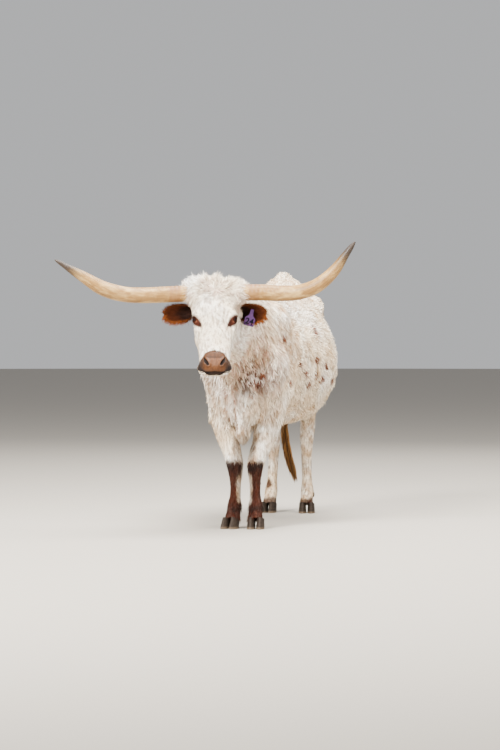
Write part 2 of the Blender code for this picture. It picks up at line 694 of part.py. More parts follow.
def ear_point(side, u, v):
    """A point on the ear's middle sheet: u along it from the root, v across it from lower to upper edge."""
    frame = head_frame()
    root = frame @ Vector((side * EAR_ROOT[0], EAR_ROOT[1], EAR_ROOT[2]))
    out = (frame.to_3x3() @ Vector((side, 0, 0)) + Vector((0, 0, -0.10))).normalized()
    ahead = heading()
    face = (ahead - out * ahead.dot(out) + Vector((0, 0, -0.12))).normalized()
    up = out.cross(face) * side
    if up.z < 0:
        up = -up
    width = EAR_HEIGHT / 2 * (0.46 + 0.54 * math.sin(math.pi / 2 * min(1.0, u / 0.42)))
    if u > EAR_ROUNDING:
        width *= math.sqrt(1 - ((u - EAR_ROUNDING) / (1.004 - EAR_ROUNDING)) ** 2)
    bend = math.radians(78 - 44 * u)
    turn = bend * v
    radius = width / math.sin(bend)
    cup = radius * (math.cos(turn) - math.cos(bend))
    rise = radius * math.sin(turn) if bend > 0.01 else width * v
    return root + out * EAR_LENGTH * u + up * rise - face * cup


def ear_mesh(side):
    """The ear as a cupped leaf, thickened evenly."""
    bm = bmesh.new()
    rows, columns = 10, 9
    grid = [
        [bm.verts.new(ear_point(side, i / (rows - 1), 2 * j / (columns - 1) - 1)) for j in range(columns)]
        for i in range(rows)
    ]
    for i in range(rows - 1):
        for j in range(columns - 1):
            quad = (grid[i][j], grid[i + 1][j], grid[i + 1][j + 1], grid[i][j + 1])
            bm.faces.new(quad[:3])
            bm.faces.new((quad[0], quad[2], quad[3]))
    mesh = bpy.data.meshes.new("ear")
    bm.to_mesh(mesh)
    bm.free()
    obj = helper(mesh)
    thick = obj.modifiers.new("thick", "SOLIDIFY")
    thick.thickness = EAR_THICK
    thick.offset = 0
    return applied(obj)


def claw_mesh(x, y, toes, outer):
    """One half of a hoof, with a flat sole: x, y the foot's middle, toes turned in degrees, outer 1 or -1."""
    bm = bmesh.new()
    rings = []
    turn = Matrix.Rotation(math.radians(toes), 3, "Z")
    for z, grow, shift in CLAW_RINGS:
        ring = []
        for k in range(CLAW_SIDES):
            angle = 2 * math.pi * k / CLAW_SIDES
            c, s = math.cos(angle), math.sin(angle)
            across = CLAW_HALF[0] * grow * math.copysign(abs(c) ** 0.8, c)
            fore = CLAW_HALF[1] * grow * s
            if s < 0:
                across *= 1 - 0.45 * s * s
            inner = 0.5 * CLAW_GAP + CLAW_HALF[0]
            spot = turn @ Vector((outer * inner + across, fore + shift, 0))
            ring.append(Vector((x + spot.x, y + spot.y, z)))
        rings.append(ring)
    skin_rings(bm, rings)
    return finished(bm)


# the feet: out from the middle, y of the hoof's middle, and the way the toes turn out in degrees
FEET = {
    "front_left": (0.064, -0.598, 3),
    "front_right": (-0.068, -0.598, -14),
    "hind_left": (0.106, 0.664, 8),
    "hind_right": (-0.106, 0.664, -6),
}


def coronet(x, y):
    """The plane where the hoof meets the leg: a point on it and its normal, higher at the toe."""
    return Vector((x, y, HOOF_HEIGHT)), Vector((0, 0.28, 1)).normalized()


def cut_plane(mesh, point, normal, keep_above):
    """The mesh on one side of a plane, closed over the cut."""
    bm = bmesh.new()
    bm.from_mesh(mesh)
    geometry = bm.verts[:] + bm.edges[:] + bm.faces[:]
    cut = bmesh.ops.bisect_plane(
        bm, geom=geometry, plane_co=point, plane_no=normal, clear_inner=keep_above, clear_outer=not keep_above
    )
    edges = [e for e in cut["geom_cut"] if isinstance(e, bmesh.types.BMEdge)]
    bmesh.ops.holes_fill(bm, edges=edges)
    bmesh.ops.triangulate(bm, faces=bm.faces)
    return finished(bm)


def lock_mesh(root, lie, lift, size, rise, curl):
    """A flat, tapered lock that sets off along lie, rises along lift and curls back.

    size holds its length, width and depth.
    """
    length, width, depth = size
    across = lie.cross(lift).normalized()
    bm = bmesh.new()
    rings = []
    for t, share in ((0.0, 0.72), (0.36, 1.0), (0.70, 0.66)):
        centre = root + (lie * t + lift * (rise * t - curl * t * t)) * length
        half = across * width / 2 * share
        lean = lift * depth / 2 * share
        rings.append([bm.verts.new(p) for p in (centre + half, centre + lean, centre - half, centre - lean)])
    tip = bm.verts.new(root + (lie + lift * (rise - curl)) * length)
    for low, high in zip(rings, rings[1:]):
        for i in range(4):
            bm.faces.new((low[i], low[(i + 1) % 4], high[(i + 1) % 4], high[i]))
    for i in range(4):
        bm.faces.new((rings[-1][i], rings[-1][(i + 1) % 4], tip))
    bm.faces.new(rings[0][::-1])
    bmesh.ops.triangulate(bm, faces=bm.faces)
    return finished(bm)


def topknot_locks():
    """Tiers of locks on the core, that run out and back from the swirl on the forehead."""
    draw = np.random.default_rng(SEED)
    frame = head_frame()
    turn = frame.to_3x3()
    centre, halves = Vector(TOPKNOT[0]), TOPKNOT[1]
    front = Vector((0, 0.55, 0.83)).normalized()
    top = Vector((0, -0.83, 0.55)).normalized()
    side = Vector((1, 0, 0))
    locks = []
    for tier, (tilt, count, length, rise) in enumerate(TOPKNOT_TIERS):
        for k in range(count):
            spread = math.radians(112) * (2 * (k + 0.5) / count - 1) + 0.10 * draw.uniform(-1, 1)
            tip = math.radians(tilt + 4 * draw.uniform(-1, 1))
            way = front * math.cos(tip) + (top * math.cos(spread) + side * math.sin(spread)) * math.sin(tip)
            spot = centre + Vector([w * h for w, h in zip(way, halves)])
            lift = Vector([w / h for w, h in zip(way, halves)]).normalized()
            lie = spot - Vector(SWIRL)
            lie = (lie - lift * lie.dot(lift)).normalized()
            lie = (lie + side * 0.16 * draw.uniform(-1, 1)).normalized()
            width, depth = TOPKNOT_LOCK
            size = (length * draw.uniform(0.85, 1.15), width * draw.uniform(0.85, 1.1), depth)
            root = frame @ (spot - lift * 0.006 - lie * 0.012)
            locks.append(lock_mesh(root, turn @ lie, turn @ lift, size, rise, rise * 0.35))
    for sign in (1, -1):
        for k in range(COLLAR_LOCKS):
            angle = math.radians(-78 + 196 * k / (COLLAR_LOCKS - 1))
            lift = Vector((0, math.cos(angle + math.pi / 2), math.sin(angle + math.pi / 2)))
            spot = Vector((sign * (HORN_COLLAR[0][0] + 0.022), *HORN_COLLAR[0][1:]))
            spot += lift * HORN_COLLAR[1][1] * 0.78
            lie = (side * sign + lift * 0.12).normalized()
            lift = (lift - lie * lift.dot(lie)).normalized()
            size = (COLLAR_LOCK[0] * draw.uniform(0.85, 1.15), *COLLAR_LOCK[1:])
            locks.append(lock_mesh(frame @ spot, turn @ lie, turn @ lift, size, 0.0, 0.15))
    return locks


def fringe_locks(side):
    """Locks along the lower edge and round the tip of an ear."""
    draw = np.random.default_rng(SEED + 1)
    ahead = heading()
    locks = []
    for k in range(FRINGE_LOCKS):
        share = k / (FRINGE_LOCKS - 1)
        u = min(0.94, 0.20 + 0.92 * share)
        v = -0.93 + 1.5 * max(0.0, share - 0.62) / 0.38
        rim = ear_point(side, u, v)
        inner = ear_point(side, u - 0.10, v * 0.5)
        lie = rim - inner
        lie = (lie - ahead * lie.dot(ahead) * 0.9).normalized()
        size = (FRINGE_LOCK[0] * draw.uniform(0.8, 1.2), FRINGE_LOCK[1], FRINGE_LOCK[2])
        locks.append(lock_mesh(rim - lie * 0.008, lie, ahead, size, 0.02, 0.14))
    return locks


def switch_locks():
    """Long locks that leave the thin core of the switch all round and close again at its tip."""
    draw = np.random.default_rng(SEED + 2)
    rows = smooth_rows(SWITCH, 60)
    locks = []
    for k in range(SWITCH_LOCKS):
        share = k / (SWITCH_LOCKS - 1)
        at = int(4 + 38 * share)
        root, later = Vector(rows[at][:3]), Vector(rows[min(at + 14, 59)][:3])
        lie = (later - root).normalized()
        turn = 2.4 * k
        lift = Vector((math.cos(turn), math.sin(turn), 0))
        lift = (lift - lie * lift.dot(lie)).normalized()
        length = SWITCH_LOCK[0] * draw.uniform(0.85, 1.1) * (1 - 0.25 * share)
        thick = rows[at][3]
        size = (length, SWITCH_LOCK[1], SWITCH_LOCK[2])
        locks.append(lock_mesh(root + lift * thick * 0.20, lie, lift, size, 4.0 * thick / length * 0.75,
                               4.0 * thick / length * 0.72))
    return locks


def tail_mesh(rows, count, sides):
    bm = bmesh.new()
    rows = smooth_rows(rows, count)
    add_round_tube(bm, [Vector(r[:3]) for r in rows], [r[3] for r in rows], sides)
    return finished(bm)


def dewclaw_mesh(x, y, side):
    """The small spare hoof behind a fetlock, pointing down and back."""
    bm = bmesh.new()
    centres = [Vector((x + side * out, y + back, DEWCLAW_HEIGHT + up)) for out, back, up, _ in DEWCLAW]
    add_round_tube(bm, centres, [row[3] for row in DEWCLAW], 8)
    return finished(bm)


def udder_mesh():
    """A small dry udder with four teats."""
    bm = bmesh.new()
    add_mass(bm, *UDDER)
    for side in (1, -1):
        for y in TEAT_LINES:
            centres = [Vector((side * out, y + back, z)) for z, out, back, _ in TEAT]
            add_round_tube(bm, centres, [row[3] for row in TEAT], 8)
    parts = islands(finished(bm))
    return boolean(parts[0], "UNION", parts[1:])


def tag_mesh(ear):
    """The flat tag that hangs in front of her left ear, on a square stud that ends against the ear."""
    side = head_frame().to_3x3() @ Vector((1, 0, 0))
    ahead = heading()
    hang = ear_point(1, *TAG_HOLE) + ahead * TAG_AHEAD
    gap = tree_of(ear).ray_cast(hang, -ahead)[3]
    bm = bmesh.new()
    grids = []
    for depth in (0.0, TAG_THICK):
        rows = []
        for down, half in TAG_OUTLINE:
            line = hang + ahead * depth - Vector((0, 0, down))
            rows.append([bm.verts.new(line + side * a) for a in (-half, -TAG_STUD, TAG_STUD, half)])
        grids.append(rows)
    back, front = grids
    for low, high in zip(range(len(back) - 1), range(1, len(back))):
        for i in range(3):
            bm.faces.new((back[low][i], back[low][i + 1], back[high][i + 1], back[high][i]))
            bm.faces.new((front[low][i], front[high][i], front[high][i + 1], front[low][i + 1]))
    rim = [row[0] for row in back] + back[-1][1:] + [row[3] for row in back[-2::-1]] + back[0][2:0:-1]
    lip = [row[0] for row in front] + front[-1][1:] + [row[3] for row in front[-2::-1]] + front[0][2:0:-1]
    for i in range(len(rim)):
        j = (i + 1) % len(rim)
        bm.faces.new((rim[i], rim[j], lip[j], lip[i]))
    bm.faces.ensure_lookup_table()
    seat = {back[1][1], back[1][2], back[2][1], back[2][2]}
    stud = [face for face in bm.faces if set(face.verts) == seat]
    ends = bmesh.ops.extrude_discrete_faces(bm, faces=stud)["faces"]
    bmesh.ops.translate(bm, verts=ends[0].verts, vec=-ahead * (gap - TAG_STUD))
    bmesh.ops.triangulate(bm, faces=bm.faces)
    return finished(bm)


def settled(objects):
    """Moves every node so that the middle of the box stands over the origin."""
    for obj in objects:
        obj.data.transform(Matrix.Translation((-BOX_CENTRE[0], -BOX_CENTRE[1], 0)))


def main():
    clear_scene()
    flesh = parted(flesh_body())
    made = []
    horns = {side: horn_mesh(side) for side in ("left", "right")}
    eyes = {side: eye_mesh(sign) for side, sign in (("left", 1), ("right", -1))}
    head = flesh["head"]
    plain_head = inflated(head)
    head = boolean(head, "DIFFERENCE", [socket_mesh(1), socket_mesh(-1)])
    head = boolean(head, "UNION", [lid_mesh(1), lid_mesh(-1), *topknot_locks()])
    cutters = [inflated(mesh) for mesh in (*horns.values(), *eyes.values())]
    cutters += [nostril_mesh(1), nostril_mesh(-1)]
    flesh["head"] = largest(boolean(head, "DIFFERENCE", cutters))
    flesh["head"] = largest(boolean(flesh["head"], "DIFFERENCE", [mouth_mesh(flesh["head"])]))
    for side, sign in (("left", 1), ("right", -1)):
        made.append(node(f"horn_{side}", horns[side], "horn"))
        made.append(node(f"eye_{side}", eyes[side], "eye"))
        ear = boolean(ear_mesh(sign), "UNION", fringe_locks(sign))
        ear = largest(boolean(ear, "DIFFERENCE", [plain_head.copy()]))
        if side == "left":
            made.append(node("ear_tag", tag_mesh(ear), "tag"))
        made.append(node(f"ear_{side}", ear, "ear"))
    for name, (x, y, toes) in FEET.items():
        where, side = name.split("_")
        shank = f"{'fore' if where == 'front' else 'hind'}_shank_{side}"
        point, normal = coronet(x, y)
        flesh[shank] = largest(cut_plane(flesh[shank], point, normal, True))
        for label, outer in (("outer", 1), ("inner", -1)):
            sign = outer if x > 0 else -outer
            claw = claw_mesh(x, y, toes, sign)
            claw = cut_plane(claw, point - normal * GAP, normal, False)
            made.append(node(f"hoof_{name}_{label}", claw, "hoof"))
            spur = dewclaw_mesh(x, y + DEWCLAW_BACK, sign)
            spur = largest(boolean(spur, "DIFFERENCE", [inflated(flesh[shank])]))
            made.append(node(f"dewclaw_{name}_{label}", spur, "hoof"))
    up = Vector((0, 0, 1))
    tail = largest(boolean(tail_mesh(TAIL, 14, 8), "DIFFERENCE", [inflated(flesh["torso"])]))
    made.append(node("tail", cut_plane(tail, up * SWITCH_TOP, up, True), "coat"))
    core = [(x, y, z, r * 0.5) for x, y, z, r in SWITCH]
    switch = largest(boolean(tail_mesh(core, 12, 8), "UNION", switch_locks()))
    switch = cut_plane(switch, up * (SWITCH_TOP - GAP), up, False)
    made.append(node("tail_switch", switch, "switch"))
    above = [inflated(flesh[name]) for name in ("torso", "thigh_left", "thigh_right")]
    udder = boolean(udder_mesh(), "DIFFERENCE", above)
    made.append(node("udder", largest(udder), "coat"))
    for name, mesh in flesh.items():
        made.append(node(name, mesh, "coat"))
    settled(made)


if __name__ == "__main__":
    main()
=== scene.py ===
"""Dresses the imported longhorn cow: skin, coat, eyes, ears, horns, hooves, tag and switch, in metres.

The flesh tables and the head's place are the same named values as the solids', in the animal's own frame,
and home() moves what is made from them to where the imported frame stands.
"""

import json
import math

import bmesh
import bpy
import numpy as np
from bpy.props import FloatProperty, FloatVectorProperty, IntProperty, PointerProperty, StringProperty
from mathutils import Matrix, Vector, noise
from mathutils.bvhtree import BVHTree

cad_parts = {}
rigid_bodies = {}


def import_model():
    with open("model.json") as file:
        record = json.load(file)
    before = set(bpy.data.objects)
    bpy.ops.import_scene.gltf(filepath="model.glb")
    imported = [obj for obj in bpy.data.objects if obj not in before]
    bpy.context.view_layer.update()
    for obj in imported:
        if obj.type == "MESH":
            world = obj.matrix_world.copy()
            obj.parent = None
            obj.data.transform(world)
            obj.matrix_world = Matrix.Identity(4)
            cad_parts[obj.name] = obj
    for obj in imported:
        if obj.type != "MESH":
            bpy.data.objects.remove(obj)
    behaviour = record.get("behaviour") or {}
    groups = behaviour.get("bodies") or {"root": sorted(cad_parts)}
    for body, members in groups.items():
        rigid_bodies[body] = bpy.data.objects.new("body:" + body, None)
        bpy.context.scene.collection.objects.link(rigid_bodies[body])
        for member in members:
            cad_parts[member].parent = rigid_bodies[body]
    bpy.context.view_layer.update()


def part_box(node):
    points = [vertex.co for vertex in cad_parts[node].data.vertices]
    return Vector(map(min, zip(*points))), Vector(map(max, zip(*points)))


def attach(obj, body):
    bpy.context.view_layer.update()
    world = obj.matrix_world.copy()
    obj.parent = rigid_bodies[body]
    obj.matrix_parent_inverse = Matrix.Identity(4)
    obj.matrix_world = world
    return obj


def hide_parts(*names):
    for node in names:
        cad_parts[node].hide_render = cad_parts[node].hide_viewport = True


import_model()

bl_info = {
    "name": "Longhorn cow",
    "version": (1, 0, 0),
    "blender": (4, 5, 0),
    "location": "View3D > Sidebar > Longhorn",
    "description": "Skin, coat, horns, hooves and stage for the longhorn cow",
    "category": "Add Mesh",
}

# Where the head sits and how it is turned, as in the solids
HEAD_YAW = math.radians(11)
HEAD_PITCH = math.radians(32)
POLL = Vector((-0.079, -0.930, 1.232))
HORN_LINE = 1.190
EYE_SEAT = (0.088, 0.195, -0.029)
EYE_LOOK = (0.70, 0.02, 0.71)
EYE_SLIT = (-0.40, 0.84, 0.36)
EYE_SOCKET = (0.022, 0.015, 0.024)
EYEBALL = 0.0205
SWIRL = (0.0, 0.042)
EAR_ROOT = (0.106, 0.108, -0.085)
EAR_LENGTH = 0.147
EAR_HEIGHT = 0.087
EAR_ROUNDING = 0.60
EAR_GRID = (40, 33)
EAR_THICK = 0.0045
LID_THICK = 0.0010
TAG_HOLE = (0.42, 0.20)
TAG_SWING = math.radians(-15)
TAG_FIGURES = 0.042
TAG_AHEAD = 0.034
TAG_THICK = 0.0022
# radius, low and high end of the stud and of the button on the tag's front
TAG_BUTTONS = ((0.0050, -TAG_AHEAD - 0.004, 0.0), (0.0072, TAG_THICK - 0.0002, TAG_THICK + 0.0022))
# down the tag from its hole, and half its width there
TAG_OUTLINE = ((-0.011, 0.0065), (-0.0045, 0.0085), (0.0045, 0.0085), (0.014, 0.0090), (0.024, 0.0130),
               (0.033, 0.0250), (0.037, 0.0260), (0.070, 0.0260), (0.0728, 0.0248), (0.074, 0.0225))
HOOF_HEIGHT = 0.052
CLAW_GAP = 0.006
CLAW_HALF = (0.0205, 0.044)
FLESH_GRID = 0.00949
TRUNK_EASING = 45
# from one fold or rib of the skin to the next
NECK_FOLDS = 0.058
RIBS = 0.072
DEWLAP_FOLDS = 0.045
EYE_RINGS = 0.0085

# y, top, bottom, half width, height of the widest point, upper and lower roundness
TORSO = (
    (-0.700, 0.960, 0.640, 0.070, 0.800, 2.0, 2.0),
    (-0.640, 1.080, 0.560, 0.150, 0.800, 2.0, 2.0),
    (-0.540, 1.185, 0.530, 0.198, 0.820, 1.9, 2.1),
    (-0.420, 1.242, 0.525, 0.218, 0.840, 1.7, 2.2),
    (-0.280, 1.238, 0.530, 0.248, 0.840, 1.7, 2.2),
    (-0.100, 1.220, 0.515, 0.300, 0.830, 1.8, 2.2),
    (0.080, 1.214, 0.498, 0.336, 0.825, 1.9, 2.2),
    (0.240, 1.222, 0.500, 0.346, 0.830, 1.8, 2.2),
    (0.370, 1.248, 0.540, 0.316, 0.850, 1.7, 2.2),
    (0.490, 1.290, 0.630, 0.250, 0.960, 1.6, 2.3),
    (0.620, 1.292, 0.730, 0.190, 1.040, 1.6, 2.3),
    (0.740, 1.264, 0.800, 0.150, 1.060, 1.7, 2.2),
    (0.820, 1.200, 0.880, 0.100, 1.050, 1.9, 2.0),
    (0.858, 1.130, 0.960, 0.050, 1.045, 2.0, 2.0),
)
# y, top, bottom, half width, height of the widest point, upper and lower roundness, across
NECK = (
    (-0.420, 1.220, 0.640, 0.150, 0.920, 1.8, 1.8, 0.000),
    (-0.560, 1.225, 0.640, 0.176, 0.920, 1.8, 1.7, -0.004),
    (-0.680, 1.212, 0.700, 0.150, 0.960, 1.8, 1.7, -0.014),
    (-0.790, 1.208, 0.780, 0.124, 1.010, 1.8, 1.8, -0.032),
    (-0.890, 1.214, 0.860, 0.100, 1.050, 1.9, 1.9, -0.054),
    (-0.960, 1.190, 0.930, 0.082, 1.070, 2.0, 2.0, -0.066),
)
# along the face, top, bottom, half width, level of the widest point, upper and lower roundness
HEAD = (
    (-0.022, -0.040, -0.120, 0.070, -0.080, 2.0, 2.0),
    (0.000, 0.000, -0.150, 0.108, -0.070, 2.4, 2.0),
    (0.050, 0.014, -0.185, 0.118, -0.060, 2.8, 2.0),
    (0.120, 0.018, -0.215, 0.113, -0.060, 2.8, 1.8),
    (0.180, 0.014, -0.235, 0.106, -0.070, 2.5, 1.7),
    (0.240, 0.006, -0.226, 0.100, -0.090, 2.2, 1.9),
    (0.310, -0.002, -0.192, 0.088, -0.086, 2.2, 2.0),
    (0.370, -0.008, -0.152, 0.078, -0.080, 2.3, 2.2),
    (0.415, -0.012, -0.130, 0.077, -0.074, 2.5, 2.4),
    (0.445, -0.018, -0.116, 0.085, -0.070, 2.7, 2.6),
    (0.468, -0.030, -0.100, 0.076, -0.068, 2.6, 2.5),
    (0.482, -0.046, -0.086, 0.048, -0.066, 2.2, 2.2),
)
# out from the middle, y, z, half across, half fore and aft
FORELEG = (
    (0.140, -0.480, 0.740, 0.070, 0.120),
    (0.132, -0.490, 0.640, 0.078, 0.102),
    (0.116, -0.508, 0.550, 0.072, 0.084),
    (0.097, -0.522, 0.460, 0.058, 0.066),
    (0.069, -0.540, 0.375, 0.047, 0.050),
    (0.055, -0.552, 0.320, 0.044, 0.048),
    (0.052, -0.548, 0.268, 0.035, 0.039),
    (0.052, -0.546, 0.210, 0.029, 0.033),
    (0.054, -0.548, 0.158, 0.029, 0.035),
    (0.056, -0.552, 0.115, 0.039, 0.043),
    (0.058, -0.572, 0.076, 0.037, 0.038),
    (0.060, -0.588, 0.040, 0.044, 0.050),
)
HINDLEG = (
    (0.105, 0.640, 1.060, 0.090, 0.170),
    (0.128, 0.625, 0.920, 0.104, 0.196),
    (0.136, 0.605, 0.780, 0.098, 0.190),
    (0.134, 0.610, 0.670, 0.082, 0.168),
    (0.122, 0.662, 0.575, 0.060, 0.124),
    (0.104, 0.718, 0.490, 0.044, 0.076),
    (0.093, 0.742, 0.425, 0.041, 0.056),
    (0.091, 0.742, 0.355, 0.035, 0.043),
    (0.093, 0.732, 0.255, 0.030, 0.035),
    (0.097, 0.722, 0.165, 0.031, 0.037),
    (0.100, 0.714, 0.118, 0.038, 0.043),
    (0.101, 0.690, 0.078, 0.036, 0.038),
    (0.102, 0.672, 0.040, 0.043, 0.050),
)
# centre (out from the middle), half sizes, and the tilt about X in degrees, made on both sides
PAIRED_MASSES = (
    ((0.142, -0.400, 0.950), (0.082, 0.120, 0.210), 20),
    ((0.138, -0.550, 0.810), (0.090, 0.125, 0.140), 0),
    ((0.156, -0.430, 0.730), (0.068, 0.120, 0.140), -20),
    ((0.140, -0.405, 0.615), (0.034, 0.046, 0.055), 0),
    ((0.172, 0.500, 1.112), (0.060, 0.120, 0.070), 12),
    ((0.088, 0.805, 1.095), (0.046, 0.060, 0.060), 0),
    ((0.118, 0.700, 0.960), (0.092, 0.140, 0.160), 0),
    ((0.150, 0.470, 0.680), (0.056, 0.070, 0.085), 0),
    ((0.172, 0.405, 0.655), (0.030, 0.085, 0.110), 30),
    ((0.093, 0.788, 0.478), (0.019, 0.026, 0.046), -12),
)
MIDDLE_MASSES = (
    ((0.000, -0.600, 0.680), (0.130, 0.130, 0.160), 0),
    ((0.000, -0.610, 0.540), (0.034, 0.130, 0.112), 0),
    ((0.000, 0.530, 1.262), (0.036, 0.160, 0.056), 0),
    ((0.000, 0.745, 1.215), (0.044, 0.095, 0.060), -25),
)
# across, along the face, out of it, half sizes: on both sides of the head
FACE_MASSES = (
    ((0.084, 0.174, -0.030), (0.032, 0.046, 0.036)),
    ((0.080, 0.225, -0.052), (0.026, 0.050, 0.030)),
    ((0.064, 0.215, -0.150), (0.038, 0.070, 0.062)),
    ((0.040, 0.438, -0.040), (0.030, 0.032, 0.030)),
    ((0.052, 0.424, -0.076), (0.030, 0.044, 0.024)),
    ((0.106, 0.036, -0.024), (0.050, 0.056, 0.054)),
)
MIDDLE_FACE_MASSES = (
    ((0, 0.446, -0.048), (0.056, 0.034, 0.034)),
    ((0, 0.428, -0.102), (0.048, 0.038, 0.020)),
    ((0, 0.006, -0.006), (0.138, 0.052, 0.038)),
)
# y, z and half thickness down the front edge of the dewlap, and how far back it reaches
DEWLAP = ((-0.895, 0.915, 0.010), (-0.858, 0.800, 0.014), (-0.805, 0.690, 0.018), (-0.752, 0.580, 0.022),
          (-0.700, 0.500, 0.026), (-0.640, 0.450, 0.026))
DEWLAP_DEPTH = 0.150
# across, above the horns' line, forward of it, and radius, root to tip
HORNS = {
    "left": ((0.100, 0.000, 0.000, 0.040), (0.161, 0.002, 0.002, 0.0405), (0.230, 0.002, 0.008, 0.0405),
             (0.331, -0.002, 0.024, 0.0395), (0.409, 0.002, 0.044, 0.0380), (0.486, 0.026, 0.068, 0.0360),
             (0.589, 0.110, 0.098, 0.0285), (0.641, 0.184, 0.112, 0.0190), (0.680, 0.238, 0.118, 0.0090),
             (0.690, 0.251, 0.120, 0.0030)),
    "right": ((-0.100, -0.002, 0.000, 0.0410), (-0.153, -0.004, 0.002, 0.0410),
              (-0.236, -0.008, 0.008, 0.0402), (-0.339, -0.012, 0.024, 0.0392),
              (-0.443, -0.008, 0.048, 0.0385), (-0.546, 0.020, 0.082, 0.0370),
              (-0.649, 0.080, 0.108, 0.0270), (-0.735, 0.132, 0.122, 0.0140),
              (-0.774, 0.156, 0.126, 0.0070), (-0.784, 0.161, 0.127, 0.0030)),
}
HORN_GRID = (190, 56)
HORN_RINGS = 0.021  # from one ring of growth to the next
# x, y, z and radius down the tail and its switch
TAIL = ((0.000, 0.770, 1.220, 0.038), (0.000, 0.845, 1.200, 0.034), (-0.004, 0.892, 1.120, 0.027),
        (-0.014, 0.905, 1.000, 0.021), (-0.030, 0.905, 0.850, 0.018), (-0.045, 0.900, 0.700, 0.016),
        (-0.052, 0.891, 0.570, 0.015), (-0.053, 0.889, 0.520, 0.012))
SWITCH = ((-0.051, 0.893, 0.580, 0.014), (-0.053, 0.889, 0.550, 0.016), (-0.055, 0.886, 0.500, 0.021),
          (-0.052, 0.880, 0.430, 0.027), (-0.040, 0.876, 0.350, 0.025), (-0.020, 0.874, 0.270, 0.019),
          (-0.004, 0.876, 0.200, 0.009), (0.000, 0.878, 0.180, 0.003))
# across, along the face, out of it, and radius of a nostril's run
NOSTRIL = ((0.0520, 0.4065, -0.027, 0.0030), (0.0485, 0.4200, -0.022, 0.0054),
           (0.0400, 0.4380, -0.020, 0.0082), (0.0325, 0.4480, -0.022, 0.0064))
# where the line of the mouth turns, along the face and out of it, and how far it rises to the front
MOUTH = (0.395, -0.092)
MOUTH_RISE = 0.110
# centre, half sizes and tilt of the udder, then z, out, back and radius of a teat
UDDER = ((0, 0.545, 0.655), (0.062, 0.115, 0.080), -20)
TEAT = ((0.620, 0.030, 0.000, 0.013), (0.575, 0.034, -0.004, 0.010), (0.552, 0.036, -0.006, 0.0085))
TEAT_LINES = (0.500, 0.590)
# the feet: out from the middle, y of the hoof's middle, and the way the toes turn out in degrees
FEET = {
    "front_left": (0.064, -0.598, 3),
    "front_right": (-0.068, -0.598, -14),
    "hind_left": (0.106, 0.664, 8),
    "hind_right": (-0.106, 0.664, -6),
}
# height, share of the full size, and how far back the ring sits
CLAW_RINGS = ((0.0, 1.0, -0.012), (0.006, 1.03, -0.011), (0.030, 0.95, 0.000), (0.075, 0.82, 0.018))
DEWCLAW_HEIGHT = 0.098
DEWCLAW_BACK = 0.080
# out, back, up and radius, from the root to the tip
DEWCLAW = ((0.010, -0.014, 0.022, 0.010), (0.014, -0.004, 0.010, 0.0125), (0.018, 0.006, -0.006, 0.0100),
           (0.019, 0.010, -0.016, 0.0050))

# Red-brown spots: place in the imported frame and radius. The last seven, on the far side, are made up
SPOTS = (
    ((0.368, 0.091, 1.005), 0.030), ((0.296, -0.358, 0.963), 0.021), ((0.360, -0.086, 0.780), 0.025),
    ((0.407, 0.110, 0.745), 0.029), ((0.364, -0.035, 0.722), 0.026), ((0.320, -0.320, 0.739), 0.021),
    ((0.435, 0.296, 0.741), 0.029), ((0.394, 0.034, 0.773), 0.021), ((0.343, -0.156, 0.828), 0.019),
    ((0.425, 0.159, 0.812), 0.021), ((0.395, 0.028, 0.848), 0.021), ((0.111, -0.597, 0.785), 0.014),
    ((0.172, -0.562, 0.748), 0.022), ((0.194, -0.546, 0.737), 0.020), ((0.208, -0.530, 0.779), 0.018),
    ((0.138, -0.610, 0.830), 0.013), ((0.108, -0.680, 0.877), 0.012),
    ((-0.166, 0.099, 0.997), 0.030), ((-0.158, -0.078, 0.772), 0.025), ((-0.205, 0.118, 0.737), 0.029),
    ((-0.118, -0.312, 0.731), 0.021), ((-0.233, 0.304, 0.733), 0.029), ((-0.192, 0.042, 0.765), 0.021),
    ((-0.223, 0.167, 0.804), 0.021),
)
CHEST_PATCH = (0.060, -0.700, 0.782)  # middle of the ragged red-brown hair on her chest, in the own frame
# nodes of the flesh that the skin stands for
FLESH = ("head", "neck", "torso", "forearm_left", "forearm_right", "fore_shank_left", "fore_shank_right",
         "thigh_left", "thigh_right", "hind_shank_left", "hind_shank_right", "udder", "tail")
REGIONS = ("crown", "face", "neck", "shoulder", "barrel_left", "barrel_right", "rump_left", "rump_right",
           "forelegs", "hindlegs", "tail")
COAT_SPACING = {"crown": "crown_spacing", "face": "face_spacing", "neck": "neck_spacing",
                "forelegs": "leg_spacing", "hindlegs": "leg_spacing", "tail": "leg_spacing"}
COAT_YAW = {"crown": 0.60, "face": 0.35}
TRUNK_YAW = 0.42
# bends and steps of the locks, from short fur to the hair of the switch
LOCKS = {
    "tuft": ((-1.3, 1.0, 0.0, 0.5), 2),
    "shaggy": ((-1.9, 1.5, 0.3, -0.7, 2.4), 3),
    "lock": ((-4.5, 3.5, 1.0, -2.0, 0.0), 4),
    "strand": ((-1.6, 1.2, 0.5, -0.6, 0.9), 7),
}
# spacing, yaw and seed of the hair that isn't on the trunk
LID_HAIR = (0.0014, 0.3, 40)
EAR_HAIR = (0.0026, 0.45, 60)
SWITCH_HAIR = (0.0026, 0.018, 90)
LOCK_TAPER = 0.85
# how much the flat maps of a lid and an ear take in, across and up
LID_VIEW = (0.09, 0.09)
EAR_VIEW = (0.20, 0.12)
PATCH = 0.003  # across a tuft's patch of the bake map
FACE_DEPTH = 0.45  # share of the coat's depth on the head
# height and half width of the bare nose
NOSE_HALF = ((0.785, 0.020), (0.790, 0.036), (0.797, 0.046), (0.804, 0.052), (0.8085, 0.076), (0.812, 0.083),
             (0.820, 0.085), (0.832, 0.083), (0.843, 0.080), (0.859, 0.071), (0.879, 0.057), (0.895, 0.047),
             (0.904, 0.030), (0.911, 0.0))
